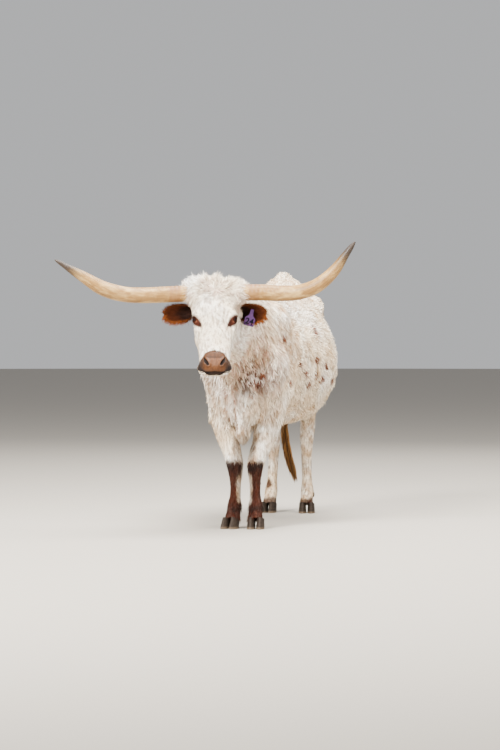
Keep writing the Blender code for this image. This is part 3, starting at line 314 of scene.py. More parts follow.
# size of the eye's opening, its share of the way onto the face, and how far the lid stands out
LID_ROWS = ((0.96, 0.0, -0.0010), (1.00, 0.0, 0.0012), (1.07, 0.10, 0.0026), (1.17, 0.30, 0.0030),
            (1.32, 0.60, 0.0024), (1.55, 0.88, 0.0014), (1.85, 1.0, 0.0004), (2.10, 1.0, -0.0016))
LID_SIDES = 56
EYE_OPENING = (0.0190, 0.0118)
MASKS = ("Red", "Brown", "Dark", "Bare", "Grey", "Gold", "Rose", "Fleck")

CAMERA_TURN = math.radians(11)
CAMERA_AWAY = 16.0
CAMERA_HEIGHT = 1.13
FOCAL_PIXELS = 3172
PHOTO_SIZE = (500, 750)
AIM_OFF = (7, -70)  # pixels from the view's middle to the point level with the camera over the forefeet
FOREFEET = Vector((0.099, -0.458, 0))
LAMP_TARGET = Vector((0, 0, 0.8))
LAMP_COLOUR = (1.0, 0.97, 0.91)
# name, place, size and power
LAMPS = (
    ("key", (-3.0, -7.5, 5.5), 2.5, 3050.0),
    ("top", (1.0, -0.5, 6.5), 4.0, 2000.0),
    ("fill", (6.0, -5.0, 2.5), 4.0, 520.0),
    ("back", (0.0, 7.0, 5.0), 4.0, 340.0),
)
SKY = ((0.97, 0.98, 1.0, 1), 0.56)
FLOOR_RADIUS = 40

UP = Vector((0, 0, 1))
SIDES = (("left", 1), ("right", -1))
SHARED = {}  # the skin, trees and materials that later operators use


def clear_defaults():
    """Removes what a new file holds besides the frame."""
    for obj in list(bpy.data.objects):
        if obj.type in {"CAMERA", "LIGHT"} or (obj.type == "MESH" and obj.name == "Cube"):
            bpy.data.objects.remove(obj)


# Shapes


def smooth_rows(rows, count):
    """Rows of numbers eased by a cubic through each given row, count of them, evenly spread."""
    rows = np.array(rows, float)
    steps = np.maximum(np.linalg.norm(np.diff(rows, axis=0), axis=1), 1e-6)
    at = np.concatenate([[0], np.cumsum(steps)])
    slopes = np.gradient(rows, at, axis=0)
    wanted = np.linspace(0, at[-1], count)
    k = np.clip(np.searchsorted(at, wanted, side="right") - 1, 0, len(rows) - 2)
    h = (at[k + 1] - at[k])[:, None]
    s = ((wanted - at[k])[:, None]) / h
    return (
        rows[k] * (1 + 2 * s) * (1 - s) ** 2
        + slopes[k] * h * s * (1 - s) ** 2
        + rows[k + 1] * s * s * (3 - 2 * s)
        - slopes[k + 1] * h * s * s * (1 - s)
    )


def turns(count):
    """Evenly spread angles round a circle."""
    return [2 * math.pi * k / count for k in range(count)]


def powered(x, power):
    """A power of a number's size, with its sign kept."""
    return math.copysign(abs(x) ** power, x)


def bridge(bm, loops):
    """Faces from each closed loop of vertices to the next."""
    for low, high in zip(loops, loops[1:]):
        for i in range(len(low)):
            j = (i + 1) % len(low)
            bm.faces.new((low[i], low[j], high[j], high[i]))


def skin_rings(bm, rings):
    """Closes rings of points into one tube, with a fan on each end."""
    loops = [[bm.verts.new(p) for p in ring] for ring in rings]
    count = len(loops[0])
    bridge(bm, loops)
    for loop, turn in ((loops[0], -1), (loops[-1], 1)):
        hub = bm.verts.new(sum((v.co for v in loop), Vector()) / count)
        for i in range(count):
            bm.faces.new((loop[i], loop[(i + 1) % count], hub)[::turn])
    return loops


def section(half, top, bottom, wide, upper, lower, sides):
    """Points (across, up) round a section that is widest at wide, with its own roundness above and below."""
    points = []
    for angle in turns(sides):
        c, s = math.cos(angle), math.sin(angle)
        power = 2 / (upper if s >= 0 else lower)
        rise = (top - wide) if s >= 0 else (wide - bottom)
        points.append((half * powered(c, power), wide + rise * powered(s, power)))
    return points


def add_loft(bm, rows, count, place, sides=32):
    """A body of upright sections. place turns (across, along, up) into a point."""
    rings = []
    for along, top, bottom, half, wide, upper, lower, *across in smooth_rows(rows, count):
        shift = across[0] if across else 0
        points = section(half, top, bottom, wide, upper, lower, sides)
        rings.append([place(a + shift, along, u) for a, u in points])
    skin_rings(bm, rings)


def add_limb(bm, rows, count, sides=20):
    """A tube through rows of x, y, z, half across and half fore and aft."""
    rows = smooth_rows(rows, count)
    centres = [Vector(r[:3]) for r in rows]
    rings = []
    for i, row in enumerate(rows):
        along = (centres[min(i + 1, count - 1)] - centres[max(i - 1, 0)]).normalized()
        across = (Vector((1, 0, 0)) - along * along.x).normalized()
        fore = along.cross(across)
        rings.append([centres[i] + across * row[3] * math.cos(t) + fore * row[4] * math.sin(t)
                      for t in turns(sides)])
    skin_rings(bm, rings)


def add_round_tube(bm, rows, sides):
    """A round tube through rows of x, y, z and radius. Its rings turn as little as they can on the way."""
    centres = [Vector(row[:3]) for row in rows]
    across = UP if abs((centres[1] - centres[0]).normalized().z) < 0.8 else Vector((1, 0, 0))
    rings = []
    last = len(centres) - 1
    for i, centre in enumerate(centres):
        along = (centres[min(i + 1, last)] - centres[max(i - 1, 0)]).normalized()
        across = (across - along * across.dot(along)).normalized()
        side, radius = along.cross(across), rows[i][3]
        rings.append([centre + (across * math.cos(t) + side * math.sin(t)) * radius for t in turns(sides)])
    return skin_rings(bm, rings)


def tube_mesh(rows, sides):
    """A round tube through rows of x, y, z and radius, as a closed mesh."""
    bm = bmesh.new()
    add_round_tube(bm, rows, sides)
    return finished(bm)


def add_mass(bm, centre, halves, tilt=0, place=None):
    """A rounded mass, tilted about X by tilt degrees."""
    turn = Matrix.Rotation(math.radians(tilt), 4, "X")
    spot = Matrix.Translation(centre) @ turn @ Matrix.Diagonal((*halves, 1))
    if place:
        spot = place @ spot
    bmesh.ops.create_icosphere(bm, subdivisions=3, radius=1, matrix=spot)


def heading():
    """The level way that the head faces."""
    return Vector((math.sin(HEAD_YAW), -math.cos(HEAD_YAW), 0))


def beside():
    """The level way to the head's left."""
    return Vector((math.cos(HEAD_YAW), math.sin(HEAD_YAW), 0))


def axes_at(place, *axes):
    """The matrix that carries X, Y and Z to these axes at a place."""
    return Matrix.Translation(place) @ Matrix(axes).transposed().to_4x4()


def sided(row, side):
    """A place or direction of the left side, or its mirror image when side is -1."""
    return Vector((side * row[0], *row[1:]))


def head_frame():
    """Turns (across, along the face, out of the face) into the animal's own frame."""
    forward = heading()
    along = forward * math.sin(HEAD_PITCH) - UP * math.cos(HEAD_PITCH)
    out = forward * math.cos(HEAD_PITCH) + UP * math.sin(HEAD_PITCH)
    return axes_at(POLL, beside(), along, out)


def level_point(across, up, forward):
    """A point beside the head by its heading, from the middle of the horns' line."""
    line = Vector((POLL.x, POLL.y, HORN_LINE))
    return line + beside() * across + heading() * forward + Vector((0, 0, up))


def eye_centre(side):
    return head_frame() @ sided(EYE_SEAT, side)


def eye_axes(side):
    """The way an eye looks, the way its slit runs, and the way across the slit."""
    turn = head_frame().to_3x3()
    look = (turn @ sided(EYE_LOOK, side)).normalized()
    slit = (turn @ sided(EYE_SLIT, side)).normalized()
    slit = (slit - look * slit.dot(look)).normalized()
    return look, slit, look.cross(slit)


def home():
    """From the animal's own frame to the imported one, by the place of her left eye."""
    low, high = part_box("eye_left")
    return (low + high) / 2 - eye_centre(1)


def meshed(bm, name="made"):
    """The bmesh as a new mesh."""
    mesh = bpy.data.meshes.new(name)
    bm.to_mesh(mesh)
    bm.free()
    return mesh


def finished(bm, name="made"):
    """The bmesh as a new mesh, its faces turned out."""
    bmesh.ops.recalc_face_normals(bm, faces=bm.faces)
    return meshed(bm, name)


def linked(name, mesh):
    obj = bpy.data.objects.new(name, mesh)
    bpy.context.scene.collection.objects.link(obj)
    return obj


def applied(obj):
    """The object's mesh with its modifiers applied. The object is removed."""
    bpy.context.view_layer.update()
    graph = bpy.context.evaluated_depsgraph_get()
    mesh = bpy.data.meshes.new_from_object(obj.evaluated_get(graph))
    bpy.data.objects.remove(obj)
    return mesh


def smoothed(obj, name, iterations, group=""):
    """Adds an easing of the surface, only where a vertex group says so if one is named."""
    modifier = obj.modifiers.new(name, "SMOOTH")
    modifier.factor = 0.5
    modifier.iterations = iterations
    modifier.vertex_group = group


def thickened(obj, thickness, offset):
    """Adds a thickness to an open sheet."""
    modifier = obj.modifiers.new("thick", "SOLIDIFY")
    modifier.thickness = thickness
    modifier.offset = offset
    modifier.use_even_offset = True


def joined(mesh, operation, others):
    """The closed mesh united with, or cut by, other closed meshes."""
    group = bpy.data.collections.new("operands")
    bpy.context.scene.collection.children.link(group)
    helpers = []
    for other in others:
        obj = bpy.data.objects.new("helper", other)
        group.objects.link(obj)
        helpers.append(obj)
    target = linked("target", mesh)
    modifier = target.modifiers.new("boolean", "BOOLEAN")
    modifier.operation = operation
    modifier.solver = "MANIFOLD"
    modifier.operand_type = "COLLECTION"
    modifier.collection = group
    made = applied(target)
    for obj in helpers:
        bpy.data.objects.remove(obj)
    bpy.data.collections.remove(group)
    return made


def coords(mesh, key="co"):
    """The vertices' places, or normals, as rows."""
    values = np.empty(len(mesh.vertices) * 3, np.float32)
    if key == "co":
        mesh.vertices.foreach_get("co", values)
    else:
        mesh.vertex_normals.foreach_get("vector", values)
    return values.reshape(-1, 3).astype(float)


def set_coords(mesh, points):
    mesh.vertices.foreach_set("co", np.ascontiguousarray(points, np.float32).ravel())
    mesh.update()


def keep(mesh, **values):
    """Stores numbers or vectors on the vertices under these names. A single number goes on all of them."""
    for name, rows in values.items():
        wide = np.ndim(rows) == 2
        kind = "FLOAT_VECTOR" if wide else "FLOAT"
        attribute = mesh.attributes.get(name) or mesh.attributes.new(name, kind, "POINT")
        rows = rows if np.ndim(rows) else np.full(len(mesh.vertices), rows)
        rows = np.ascontiguousarray(rows, np.float32).ravel()
        attribute.data.foreach_set("vector" if wide else "value", rows)


def kept(mesh, name, width=1):
    attribute = mesh.attributes[name]
    values = np.empty(len(mesh.vertices) * width, np.float32)
    attribute.data.foreach_get("vector" if width == 3 else "value", values)
    return values.reshape(-1, width).astype(float) if width > 1 else values.astype(float)


def bring_home(mesh):
    """Moves a mesh from the animal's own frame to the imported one, where each place is kept as a root."""
    mesh.transform(Matrix.Translation(SHARED["home"]))
    keep(mesh, root=coords(mesh))


def ease(x):
    """0 below 0 and 1 above 1, smooth between."""
    x = np.clip(x, 0, 1)
    return x * x * (3 - 2 * x)


def bump(x, width):
    return np.exp(-((x / width) ** 2))


def mix(a, b, share):
    return a * (1 - share) + b * share


def noise_at(points, scale, seed=0):
    """Smooth noise from -1 to 1 at each point, scale in lumps a metre."""
    shift = Vector((seed * 7.3, seed * 3.1, seed * 5.7))
    return np.array([noise.noise(Vector(p) * scale + shift) for p in points])


def noise_field(points, scale, first):
    """A smooth random direction at each point, from three draws of noise."""
    return np.stack([noise_at(points, scale, first + k) for k in range(3)], axis=1)


def columns(*values):
    """Columns or single numbers set side by side as rows."""
    return np.stack(np.broadcast_arrays(*values), axis=1)


def distance(points, spot, squeeze=1.0):
    """How far each point is from a spot."""
    return np.linalg.norm((points - np.array(spot)) / squeeze, axis=1)


def unit(rows):
    return rows / np.maximum(np.linalg.norm(rows, axis=1), 1e-9)[:, None]


def to_head(points):
    """Points of the own frame as (across, along the face, out of it)."""
    back = np.array(head_frame().inverted())
    return points @ back[:3, :3].T + back[:3, 3]


def from_head(rows):
    """Directions of the head's frame in the own frame."""
    return rows @ np.array(head_frame())[:3, :3].T


def tree_of(mesh):
    """The mesh's faces, ready for rays."""
    return BVHTree.FromPolygons([v.co for v in mesh.vertices], [tuple(p.vertices) for p in mesh.polygons])


def tube_distance(points, rows, radii):
    """How far each point is outside a tube through these rows, below 0 in it."""
    best = np.full(len(points), 9.0)
    for a, b, wide, wider in zip(rows, rows[1:], radii, radii[1:]):
        d = b - a
        t = np.clip(((points - a) @ d) / (d @ d), 0, 1)
        away = np.linalg.norm(points - a - t[:, None] * d, axis=1)
        best = np.minimum(best, away - mix(wide, wider, t))
    return best


def line_at(rows, z, fields=(0, 1), level=2):
    """Fields of a table, read at heights z. Its rows run down."""
    table = np.array(rows)[::-1]
    return [np.interp(z, table[:, level], table[:, k]) for k in fields]


def leg_line(rows, z, side):
    """The middle of a leg at heights z, as x and y."""
    x, y = line_at(rows, z)
    return side * x, y


# Skin


def flesh_mesh():
    """The lofts and masses of the flesh, remeshed and eased as in the solids."""
    bm = bmesh.new()
    head = head_frame()
    for rows, count in ((TORSO, 40), (NECK, 20)):
        add_loft(bm, rows, count, lambda a, y, z: Vector((a, y, z)))
    add_loft(bm, HEAD, 30, lambda a, t, n: head @ Vector((a, t, n)))
    for side in (1, -1):
        for rows in (FORELEG, HINDLEG):
            add_limb(bm, [(side * x, *rest) for x, *rest in rows], 44)
        for centre, halves, tilt in PAIRED_MASSES:
            add_mass(bm, sided(centre, side), halves, tilt)
        for centre, halves in FACE_MASSES:
            add_mass(bm, sided(centre, side), halves, 0, head)
    for centre, halves, tilt in MIDDLE_MASSES:
        add_mass(bm, centre, halves, tilt)
    for centre, halves in MIDDLE_FACE_MASSES:
        add_mass(bm, centre, halves, 0, head)
    add_dewlap(bm)
    obj = linked("flesh", finished(bm))
    remesh = obj.modifiers.new("one skin", "REMESH")
    remesh.mode = "VOXEL"
    remesh.voxel_size = FLESH_GRID
    smoothed(obj, "soften", 8)
    obj = linked("flesh", applied(obj))
    broad = obj.vertex_groups.new(name="broad")
    points = coords(obj.data)
    off_head = (distance(points, head @ Vector((0, 0.20, -0.08))) - 0.28) * 8
    weight = np.minimum(off_head, (points[:, 2] - 0.50) * 8)
    for i, share in enumerate(np.clip(weight, 0.0, 1.0)):
        if share > 0:
            broad.add([i], share, "REPLACE")
    smoothed(obj, "ease the trunk", TRUNK_EASING, "broad")
    return applied(obj)


def add_dewlap(bm):
    """The fold of skin that hangs from the throat to the brisket."""
    rings = []
    lean = Vector((0, DEWLAP_DEPTH, DEWLAP_DEPTH * 0.55))
    for y, z, half in smooth_rows(DEWLAP, 14):
        x = -0.030 * max(0.0, min(1.0, (-0.62 - y) / 0.30))
        rings.append([Vector((x + half * math.sin(turn), y, z)) + lean * ((1 - math.cos(turn)) / 2)
                      for turn in turns(12)])
    skin_rings(bm, rings)


def udder_meshes():
    """The udder and its four teats, each closed."""
    bm = bmesh.new()
    add_mass(bm, *UDDER)
    made = [finished(bm)]
    for side in (1, -1):
        for y in TEAT_LINES:
            rows = smooth_rows(TEAT, 12)
            made.append(tube_mesh([(side * out, y + back, z, wide) for z, out, back, wide in rows], 16))
    return made


def finer(mesh, chosen):
    """The mesh with the edges between chosen vertices halved."""
    bm = bmesh.new()
    bm.from_mesh(mesh)
    bm.verts.ensure_lookup_table()
    edges = [e for e in bm.edges if chosen[e.verts[0].index] and chosen[e.verts[1].index]]
    bmesh.ops.subdivide_edges(bm, edges=edges, cuts=1, use_grid_fill=True, smooth=0.6)
    bmesh.ops.triangulate(bm, faces=[f for f in bm.faces if len(f.verts) > 4])
    return meshed(bm, "finer")


def eye_distance(points):
    return np.minimum(*(distance(points, eye_centre(side)) for side in (1, -1)))


def sculpt(mesh, depth):
    """Draws the skin in by the coat's depth and gives it its folds, nostril rims, lips and ribs."""
    points, normals = coords(mesh), coords(mesh, "normal")
    a, t, n = to_head(points).T
    x, y, z = points.T
    off = np.abs(x)
    head = head_share(points)
    body = 1 - head
    low = ease((0.56 - z) / 0.12)
    push = -mix(mix(depth, depth * 0.45, low), depth * FACE_DEPTH, head)
    neck = ease((-0.56 - y) / 0.10) * body * ease((z - 0.60) / 0.10)
    wave = noise_at(points, 5.0, 1)
    fold = np.sin(2 * math.pi * (y * 0.92 + z * 0.30) / NECK_FOLDS + 3.0 * wave)
    push += neck * ease((np.abs(x + 0.03) - 0.03) / 0.05) * 0.0042 * fold * (0.6 + 0.4 * wave)
    barrel = ease((y + 0.28) / 0.15) * ease((0.34 - y) / 0.12)
    barrel *= ease((z - 0.62) / 0.12) * ease((1.12 - z) / 0.14)
    push += barrel * 0.0022 * np.sin(2 * math.pi * (y - 0.22 * (z - 0.8)) / RIBS)
    elbow = bump(y + 0.335 + 0.20 * (z - 0.85), 0.030)
    push -= 0.006 * elbow * ease((z - 0.60) / 0.1) * ease((1.08 - z) / 0.1)
    flank = bump(y - 0.395 - 0.35 * (z - 0.85), 0.050)
    push -= 0.008 * flank * ease((z - 0.66) / 0.08) * ease((1.12 - z) / 0.12)
    dewlap = ease((-0.58 - y) / 0.06) * ease((0.80 - z) / 0.10) * ease((0.05 - off) / 0.03) * body
    push += dewlap * 0.0035 * np.sin(2 * math.pi * (z * 0.5 + y) / DEWLAP_FOLDS + 2 * wave)
    push -= 0.016 * chest_crease(points) * body
    push -= 0.016 * bump(z - 0.545, 0.060) * ease((off - 0.125) / 0.03) * ease((y - 0.44) / 0.05)
    push += head * face_relief(points, a, t, n)
    set_coords(mesh, points + normals * push[:, None])


def chest_crease(points):
    """1 along the two creases that run down beside the dewlap's edge, 0 away from them."""
    x, y, z = points.T
    middle = np.interp(z, (0.48, 0.53, 0.72, 0.90), (-0.026, -0.046, -0.042, -0.050)) + 0.003 * np.sin(z * 60)
    off = np.abs(x - middle)
    run = ease((-0.55 - y) / 0.06) * ease((z - 0.48) / 0.03) * ease((0.80 - z) / 0.10)
    return run * bump(off - np.interp(z, (0.48, 0.53, 0.80), (0.012, 0.026, 0.030)), 0.0085)


def mouth_level(a, t):
    """How far out of the face the line of the mouth runs beside each point, as in the solids' groove."""
    turn = np.arctan2(a, t - MOUTH[0])
    reach = np.hypot(a, t - MOUTH[0]) / np.hypot(0.16 * np.sin(turn), 0.20 * np.cos(turn))
    return MOUTH[1] + MOUTH_RISE * np.clip(np.cos(turn), 0, 1) ** 2 * reach


def nostril_distance(points):
    """How far each point is from the wall of the nearer nostril, below 0 in its hollow."""
    radii = smooth_rows(NOSTRIL, 14)[:, 3]
    return np.minimum(*(tube_distance(points, np.array(line), radii) for line in SHARED["nostrils"]))


def face_relief(points, a, t, n):
    """How far the face stands out, in metres, for its nostril rims, lips, creases and bones."""
    side = np.abs(a)
    hollow = nostril_distance(points)
    inner = ease((0.046 - side) / 0.012)
    rise = (0.0022 + 0.0026 * inner) * bump(hollow - 0.0042, 0.0042) * ease((t - 0.39) / 0.02)
    rise -= 0.0035 * bump(side - 0.058, 0.010) * bump(t - 0.412, 0.020)
    front = ease((t - 0.325) / 0.05)
    mouth = n - mouth_level(a, t)
    rise -= 0.0050 * bump(mouth, 0.0026) * front
    rise += 0.0026 * bump(mouth - 0.010, 0.0060) * front
    rise += 0.0026 * bump(mouth + 0.011, 0.0070) * front
    rise += 0.0050 * bump(side - 0.078, 0.012) * bump(mouth - 0.008, 0.010) * bump(t - 0.440, 0.022)
    rise -= 0.0020 * bump(a, 0.0022) * ease((t - 0.455) / 0.01) * ease((mouth - 0.002) / 0.004)
    rise -= 0.0022 * bump(t - 0.381, 0.005) * ease((0.040 - side) / 0.02) * ease((n + 0.05) / 0.02)
    around = eye_distance(points)
    ring = ease((around - 0.028) / 0.008) * ease((0.062 - around) / 0.022)
    rise += 0.0011 * ring * np.sin(2 * math.pi * around / EYE_RINGS)
    rise += 0.0035 * bump(t - 0.150, 0.014) * bump(side - 0.088, 0.026)
    rise -= 0.0030 * bump(side - 0.050, 0.016) * bump(t - 0.245, 0.050)
    rise += 0.0030 * bump(side - 0.072, 0.010) * bump(n + 0.052, 0.014) * bump(t - 0.290, 0.060)
    rise -= 0.0020 * bump(side - 0.070, 0.010) * bump(n + 0.075, 0.010) * bump(t - 0.330, 0.050)
    return rise


def head_share(points):
    """1 on the head, 0 behind the nape, smooth between."""
    ahead = heading()
    nape = np.array(POLL - ahead * 0.108 - Vector((0, 0, 0.190)))
    normal = np.array((ahead + Vector((0, 0, 0.14))).normalized())
    return ease(((points - nape) @ normal + 0.012) / 0.024)


def socket_mesh(side):
    """The almond opening in front of an eye."""
    look, slit, over = eye_axes(side)
    place = axes_at(eye_centre(side) + look * 0.014, slit, over, look)
    bm = bmesh.new()
    spread = Matrix.Diagonal((*EYE_SOCKET, 1))
    bmesh.ops.create_icosphere(bm, subdivisions=4, radius=1, matrix=place @ spread)
    return finished(bm)


def nostril_lines(surface, depth):
    """The middle of each nostril's run, sunk into the face by the coat's depth there."""
    lines = []
    for side in (1, -1):
        line = []
        for *spot, radius in smooth_rows(NOSTRIL, 14):
            point, normal = surface.find_nearest(head_frame() @ sided(spot, side))[:2]
            line.append(point - normal * (depth + 0.10 * radius))
        lines.append(line)
    return lines


def nostril_mesh(line):
    """A nostril's hollow, a comma sunk into the muzzle."""
    return tube_mesh([(*point, row[3]) for point, row in zip(line, smooth_rows(NOSTRIL, 14))], 20)


def coronet(x, y):
    """The plane where a hoof meets its leg: a point on it and its normal."""
    return Vector((x, y, HOOF_HEIGHT)), Vector((0, 0.28, 1)).normalized()


def foot_blocks():
    """What lies under each coronet, as blocks."""
    made = []
    for x, y, _ in FEET.values():
        point, normal = coronet(x, y)
        turn = normal.to_track_quat("Z", "Y").to_matrix().to_4x4()
        bm = bmesh.new()
        place = Matrix.Translation(point - normal * 0.045) @ turn @ Matrix.Diagonal((0.15, 0.20, 0.09, 1))
        bmesh.ops.create_cube(bm, size=1, matrix=place)
        made.append(finished(bm))
    return made


def skin_mesh(depth):
    """The whole hide in the own frame: fine on the head, finest round the eyes, nose and mouth."""
    mesh = flesh_mesh()
    mesh = joined(mesh, "UNION", [tube_mesh(smooth_rows(TAIL, 90), 18), *udder_meshes()])
    points = coords(mesh)
    mesh = finer(mesh, (head_share(points) > 0.6) & (to_head(points)[:, 1] > 0.11))
    points = coords(mesh)
    t, n = to_head(points).T[1:]
    near = ((t > 0.395) & (n > -0.095)) | (eye_distance(points) < 0.044)
    mesh = finer(mesh, near & (head_share(points) > 0.9))
    obj = linked("hide", mesh)
    fine = obj.vertex_groups.new(name="fine")
    share = head_share(coords(mesh))
    fine.add([int(i) for i in np.nonzero(share > 0.5)[0]], 1.0, "REPLACE")
    smoothed(obj, "soften", 5, "fine")
    mesh = applied(obj)
    SHARED["nostrils"] = nostril_lines(tree_of(mesh), depth * FACE_DEPTH)
    sculpt(mesh, depth)
    surface = tree_of(mesh)
    hollows = [nostril_mesh(line) for line in SHARED["nostrils"]]
    cutters = [socket_mesh(1), socket_mesh(-1), *hollows, *foot_blocks()]
    return joined(mesh, "DIFFERENCE", cutters), surface


def on_tail(y, z):
    return (y > 0.868) & (z < 1.15)


def regions(points):
    """The number of each point's region."""
    a, t, n = to_head(points).T
    x, y, z = points.T
    found = np.select([y < -0.27, y < 0.36], [3, np.where(x > 0, 4, 5)], np.where(x > 0, 6, 7))
    ahead = (points - np.array((0, -0.575, 0.860))) @ np.array((0, -0.96, -0.26)) > 0
    found = np.where(ahead & (z > 0.40), 2, found)
    found = np.where((z < 0.50) & (y < 0.0) & (np.abs(x) > 0.012) & (y > -0.66), 8, found)
    found = np.where((z < 0.60) & (y > 0.3) & (np.abs(x) > 0.045), 9, found)
    found = np.where(on_tail(y, z), 10, found)
    crown = (t < 0.100 + 0.03 * (np.abs(a) > 0.085)) & (n > -0.105)
    return np.where(head_share(points) > 0.5, np.where(crown, 0, 1), found)


def unwrap(points, region):
    """A place in the unit square for each point of a region, by its turn round an axis and its run."""
    a, t, n = to_head(points).T
    x, y, z = points.T
    if region in (0, 1):
        turn, run = np.arctan2(a, n + 0.09) / (2 * math.pi) + 0.5, (t + 0.10) / 0.65
    elif region in (2, 3):
        turn, run = np.arctan2(x + 0.02, z - 0.86) / (2 * math.pi) + 0.5, (y + 1.05) / 0.85
    elif region in (4, 5):
        turn, run = np.abs(np.arctan2(x, z - 0.86)) / math.pi, (y + 0.30) / 0.70
    elif region in (6, 7):
        turn, run = np.abs(np.arctan2(x, z - 0.80)) / math.pi, (y - 0.34) / 0.60
    elif region == 10:
        turn, run = np.arctan2(x + 0.03, y - 0.90) / (2 * math.pi) + 0.5, (z - 0.45) / 0.80
    else:
        side = np.where(x > 0, 1, -1)
        cx, cy = leg_line(FORELEG if region == 8 else HINDLEG, z, side)
        turn = (np.arctan2((x - cx) * side, y - cy) / (2 * math.pi) + 0.5) * 0.48 + np.where(x > 0, 0.0, 0.5)
        run = z / 0.62
    return np.clip(columns(turn, run), 0.004, 0.996)


def crown_share(a, t, n):
    """1 on the poll and round the horns' roots, 0 on the face, eased between."""
    reach = 0.098 + 0.030 * ease((np.abs(a) - 0.070) / 0.03)
    return ease((reach - t) / 0.070) * ease((n + 0.105) / 0.05) * ease((t + 0.045) / 0.03)


def lie_of_hair(points, normals):
    """The way the hair runs at each point, in the own frame."""
    a, t, n = to_head(points).T
    x, y, z = points.T
    head = head_share(points)[:, None]
    trunk = columns(0.0, 1.0, -0.25 - 0.9 * ease((1.10 - z) / 0.35))
    fore = ease((-0.30 - y) / 0.20)[:, None]
    trunk = mix(trunk, columns(0.1 * np.sign(x), 0.35, -1.0), fore)
    belly = (ease((-normals[:, 2] - 0.5) / 0.3) * ease((z - 0.40) / 0.1))[:, None]
    trunk = mix(trunk, np.array((0.0, 1.0, 0.0)), belly)
    legs = ease((0.62 - z) / 0.12)[:, None]
    trunk = mix(trunk, np.array((0.0, 0.15, -1.0)), legs)
    thigh = (ease((y - 0.42) / 0.12) * ease((1.15 - z) / 0.1))[:, None]
    trunk = mix(trunk, np.array((0.0, 0.45, -1.0)), thigh * (1 - legs))
    trunk = np.where(on_tail(y, z)[:, None], np.array((0.0, 0.0, -1.0)), trunk)
    spread = columns(a * 1.15, t - SWIRL[1], 0.0)
    twist = columns(-(t - SWIRL[1]), a, 0.0)
    spread = unit(spread) + 0.35 * unit(twist) * bump(np.linalg.norm(spread, axis=1), 0.06)[:, None]
    down = columns(0.35 * np.sign(a), 1.0, -0.2)
    face = mix(spread, down, ease((t - 0.13) / 0.10)[:, None])
    out = ease((np.abs(a) - 0.080) / 0.03) * ease((0.12 - t) / 0.03)
    fall = ease((t - 0.015) / 0.03)
    aside = np.sign(a) * mix(0.50, 0.30, fall)
    face = mix(face, columns(aside, mix(-0.62, 1.0, fall), mix(0.35, 0.05, fall)), out[:, None])
    jaw = (ease((-0.13 - n) / 0.05) * ease((t - 0.10) / 0.05))[:, None]
    face = mix(face, np.array((0.0, -0.6, -1.0)), jaw)
    swirl = noise_field(points, 9.0, 2) + 0.40 * noise_field(points, 30.0, 12)
    swirl *= (1 - 0.55 * ease((-0.42 - y) / 0.14))[:, None]
    calm = np.clip(head + legs * 0.7, 0, 1)
    lie = unit(mix(trunk, from_head(face), head))
    lie += swirl * mix(mix(0.75, 0.30, calm), 1.0, crown_share(a, t, n)[:, None] * head)
    lie -= normals * np.sum(lie * normals, axis=1)[:, None]
    return unit(lie)


def bare_nose(a, t, n, z):
    """1 on the bare skin of nose and lips, 0 on the hair round it."""
    half = np.interp(z, *np.array(NOSE_HALF).T)
    ragged = 0.0020 * np.sin(a * 900) * np.sin(z * 1100 + 2)
    pad = ease((half + ragged - np.abs(a)) / 0.006 + 0.5) * ease((t - 0.362) / 0.010)
    pad *= ease((n - mouth_level(a, t) + 0.034) / 0.012)
    lip = 0.8 * bump(n - mouth_level(a, t), 0.0038) * ease((t - 0.355) / 0.03)
    return np.maximum(pad, lip)


def eye_patch(points):
    """1 on the red-brown skin round the eyes, more of it towards the inner corner, 0 on the face."""
    most = np.zeros(len(points))
    for side in (1, -1):
        _, slit, over = (np.array(axis) for axis in eye_axes(side))
        off = points - np.array(eye_centre(side))
        along, across = off @ slit, off @ over
        away = np.hypot((along - 0.010) / 0.038, (across + 0.001) / (0.0210 - 0.21 * np.clip(along, 0, 0.05)))
        most = np.maximum(most, ease((1.25 - away) / 0.45) * (np.linalg.norm(off, axis=1) < 0.07))
    return most


def leg_marks(points, rough, ragged):
    """The brown and the darkest hair of knees, shins and fetlocks, and the straw tint behind the knees."""
    x, y, z = points.T
    side = np.where(x > 0, 1.0, -1.0)
    fore = ((y < 0) & (z < 0.42)).astype(float)
    cx, cy = leg_line(FORELEG, z, side)
    outer = side * (x - cx) - 0.45 * (y - cy) + 0.010 * rough
    ahead = ease((-(y - cy) + 0.004 + 0.016 * rough) / 0.022)
    knee = bump(z - 0.318, 0.034) * ahead * ease((0.352 - z + 0.016 * rough + 0.016 * ragged) / 0.012)
    shin = ease((0.312 - z + 0.01 * rough) / 0.02) * ease((outer + 0.004) / 0.008)
    boot = ease((0.142 - z + 0.010 * rough) / 0.014)
    brown = fore * np.clip(knee + shin + boot, 0, 1)
    hind = ((y > 0.3) & (z < 0.5)).astype(float)
    brown += hind * ease((0.092 - z + 0.014 * rough) / 0.02) * 0.9
    brown += hind * ease((rough - 0.42) / 0.1) * ease((0.30 - z) / 0.05) * 0.9
    dark = fore * (0.90 * bump(z - 0.318, 0.030) * ahead + 0.80 * bump(z - 0.105, 0.022))
    dark = dark * np.clip(1 + rough, 0, 1) * brown
    return brown, dark, 0.45 * bump(z - 0.33, 0.05) * fore * ease((y - cy) / 0.03)


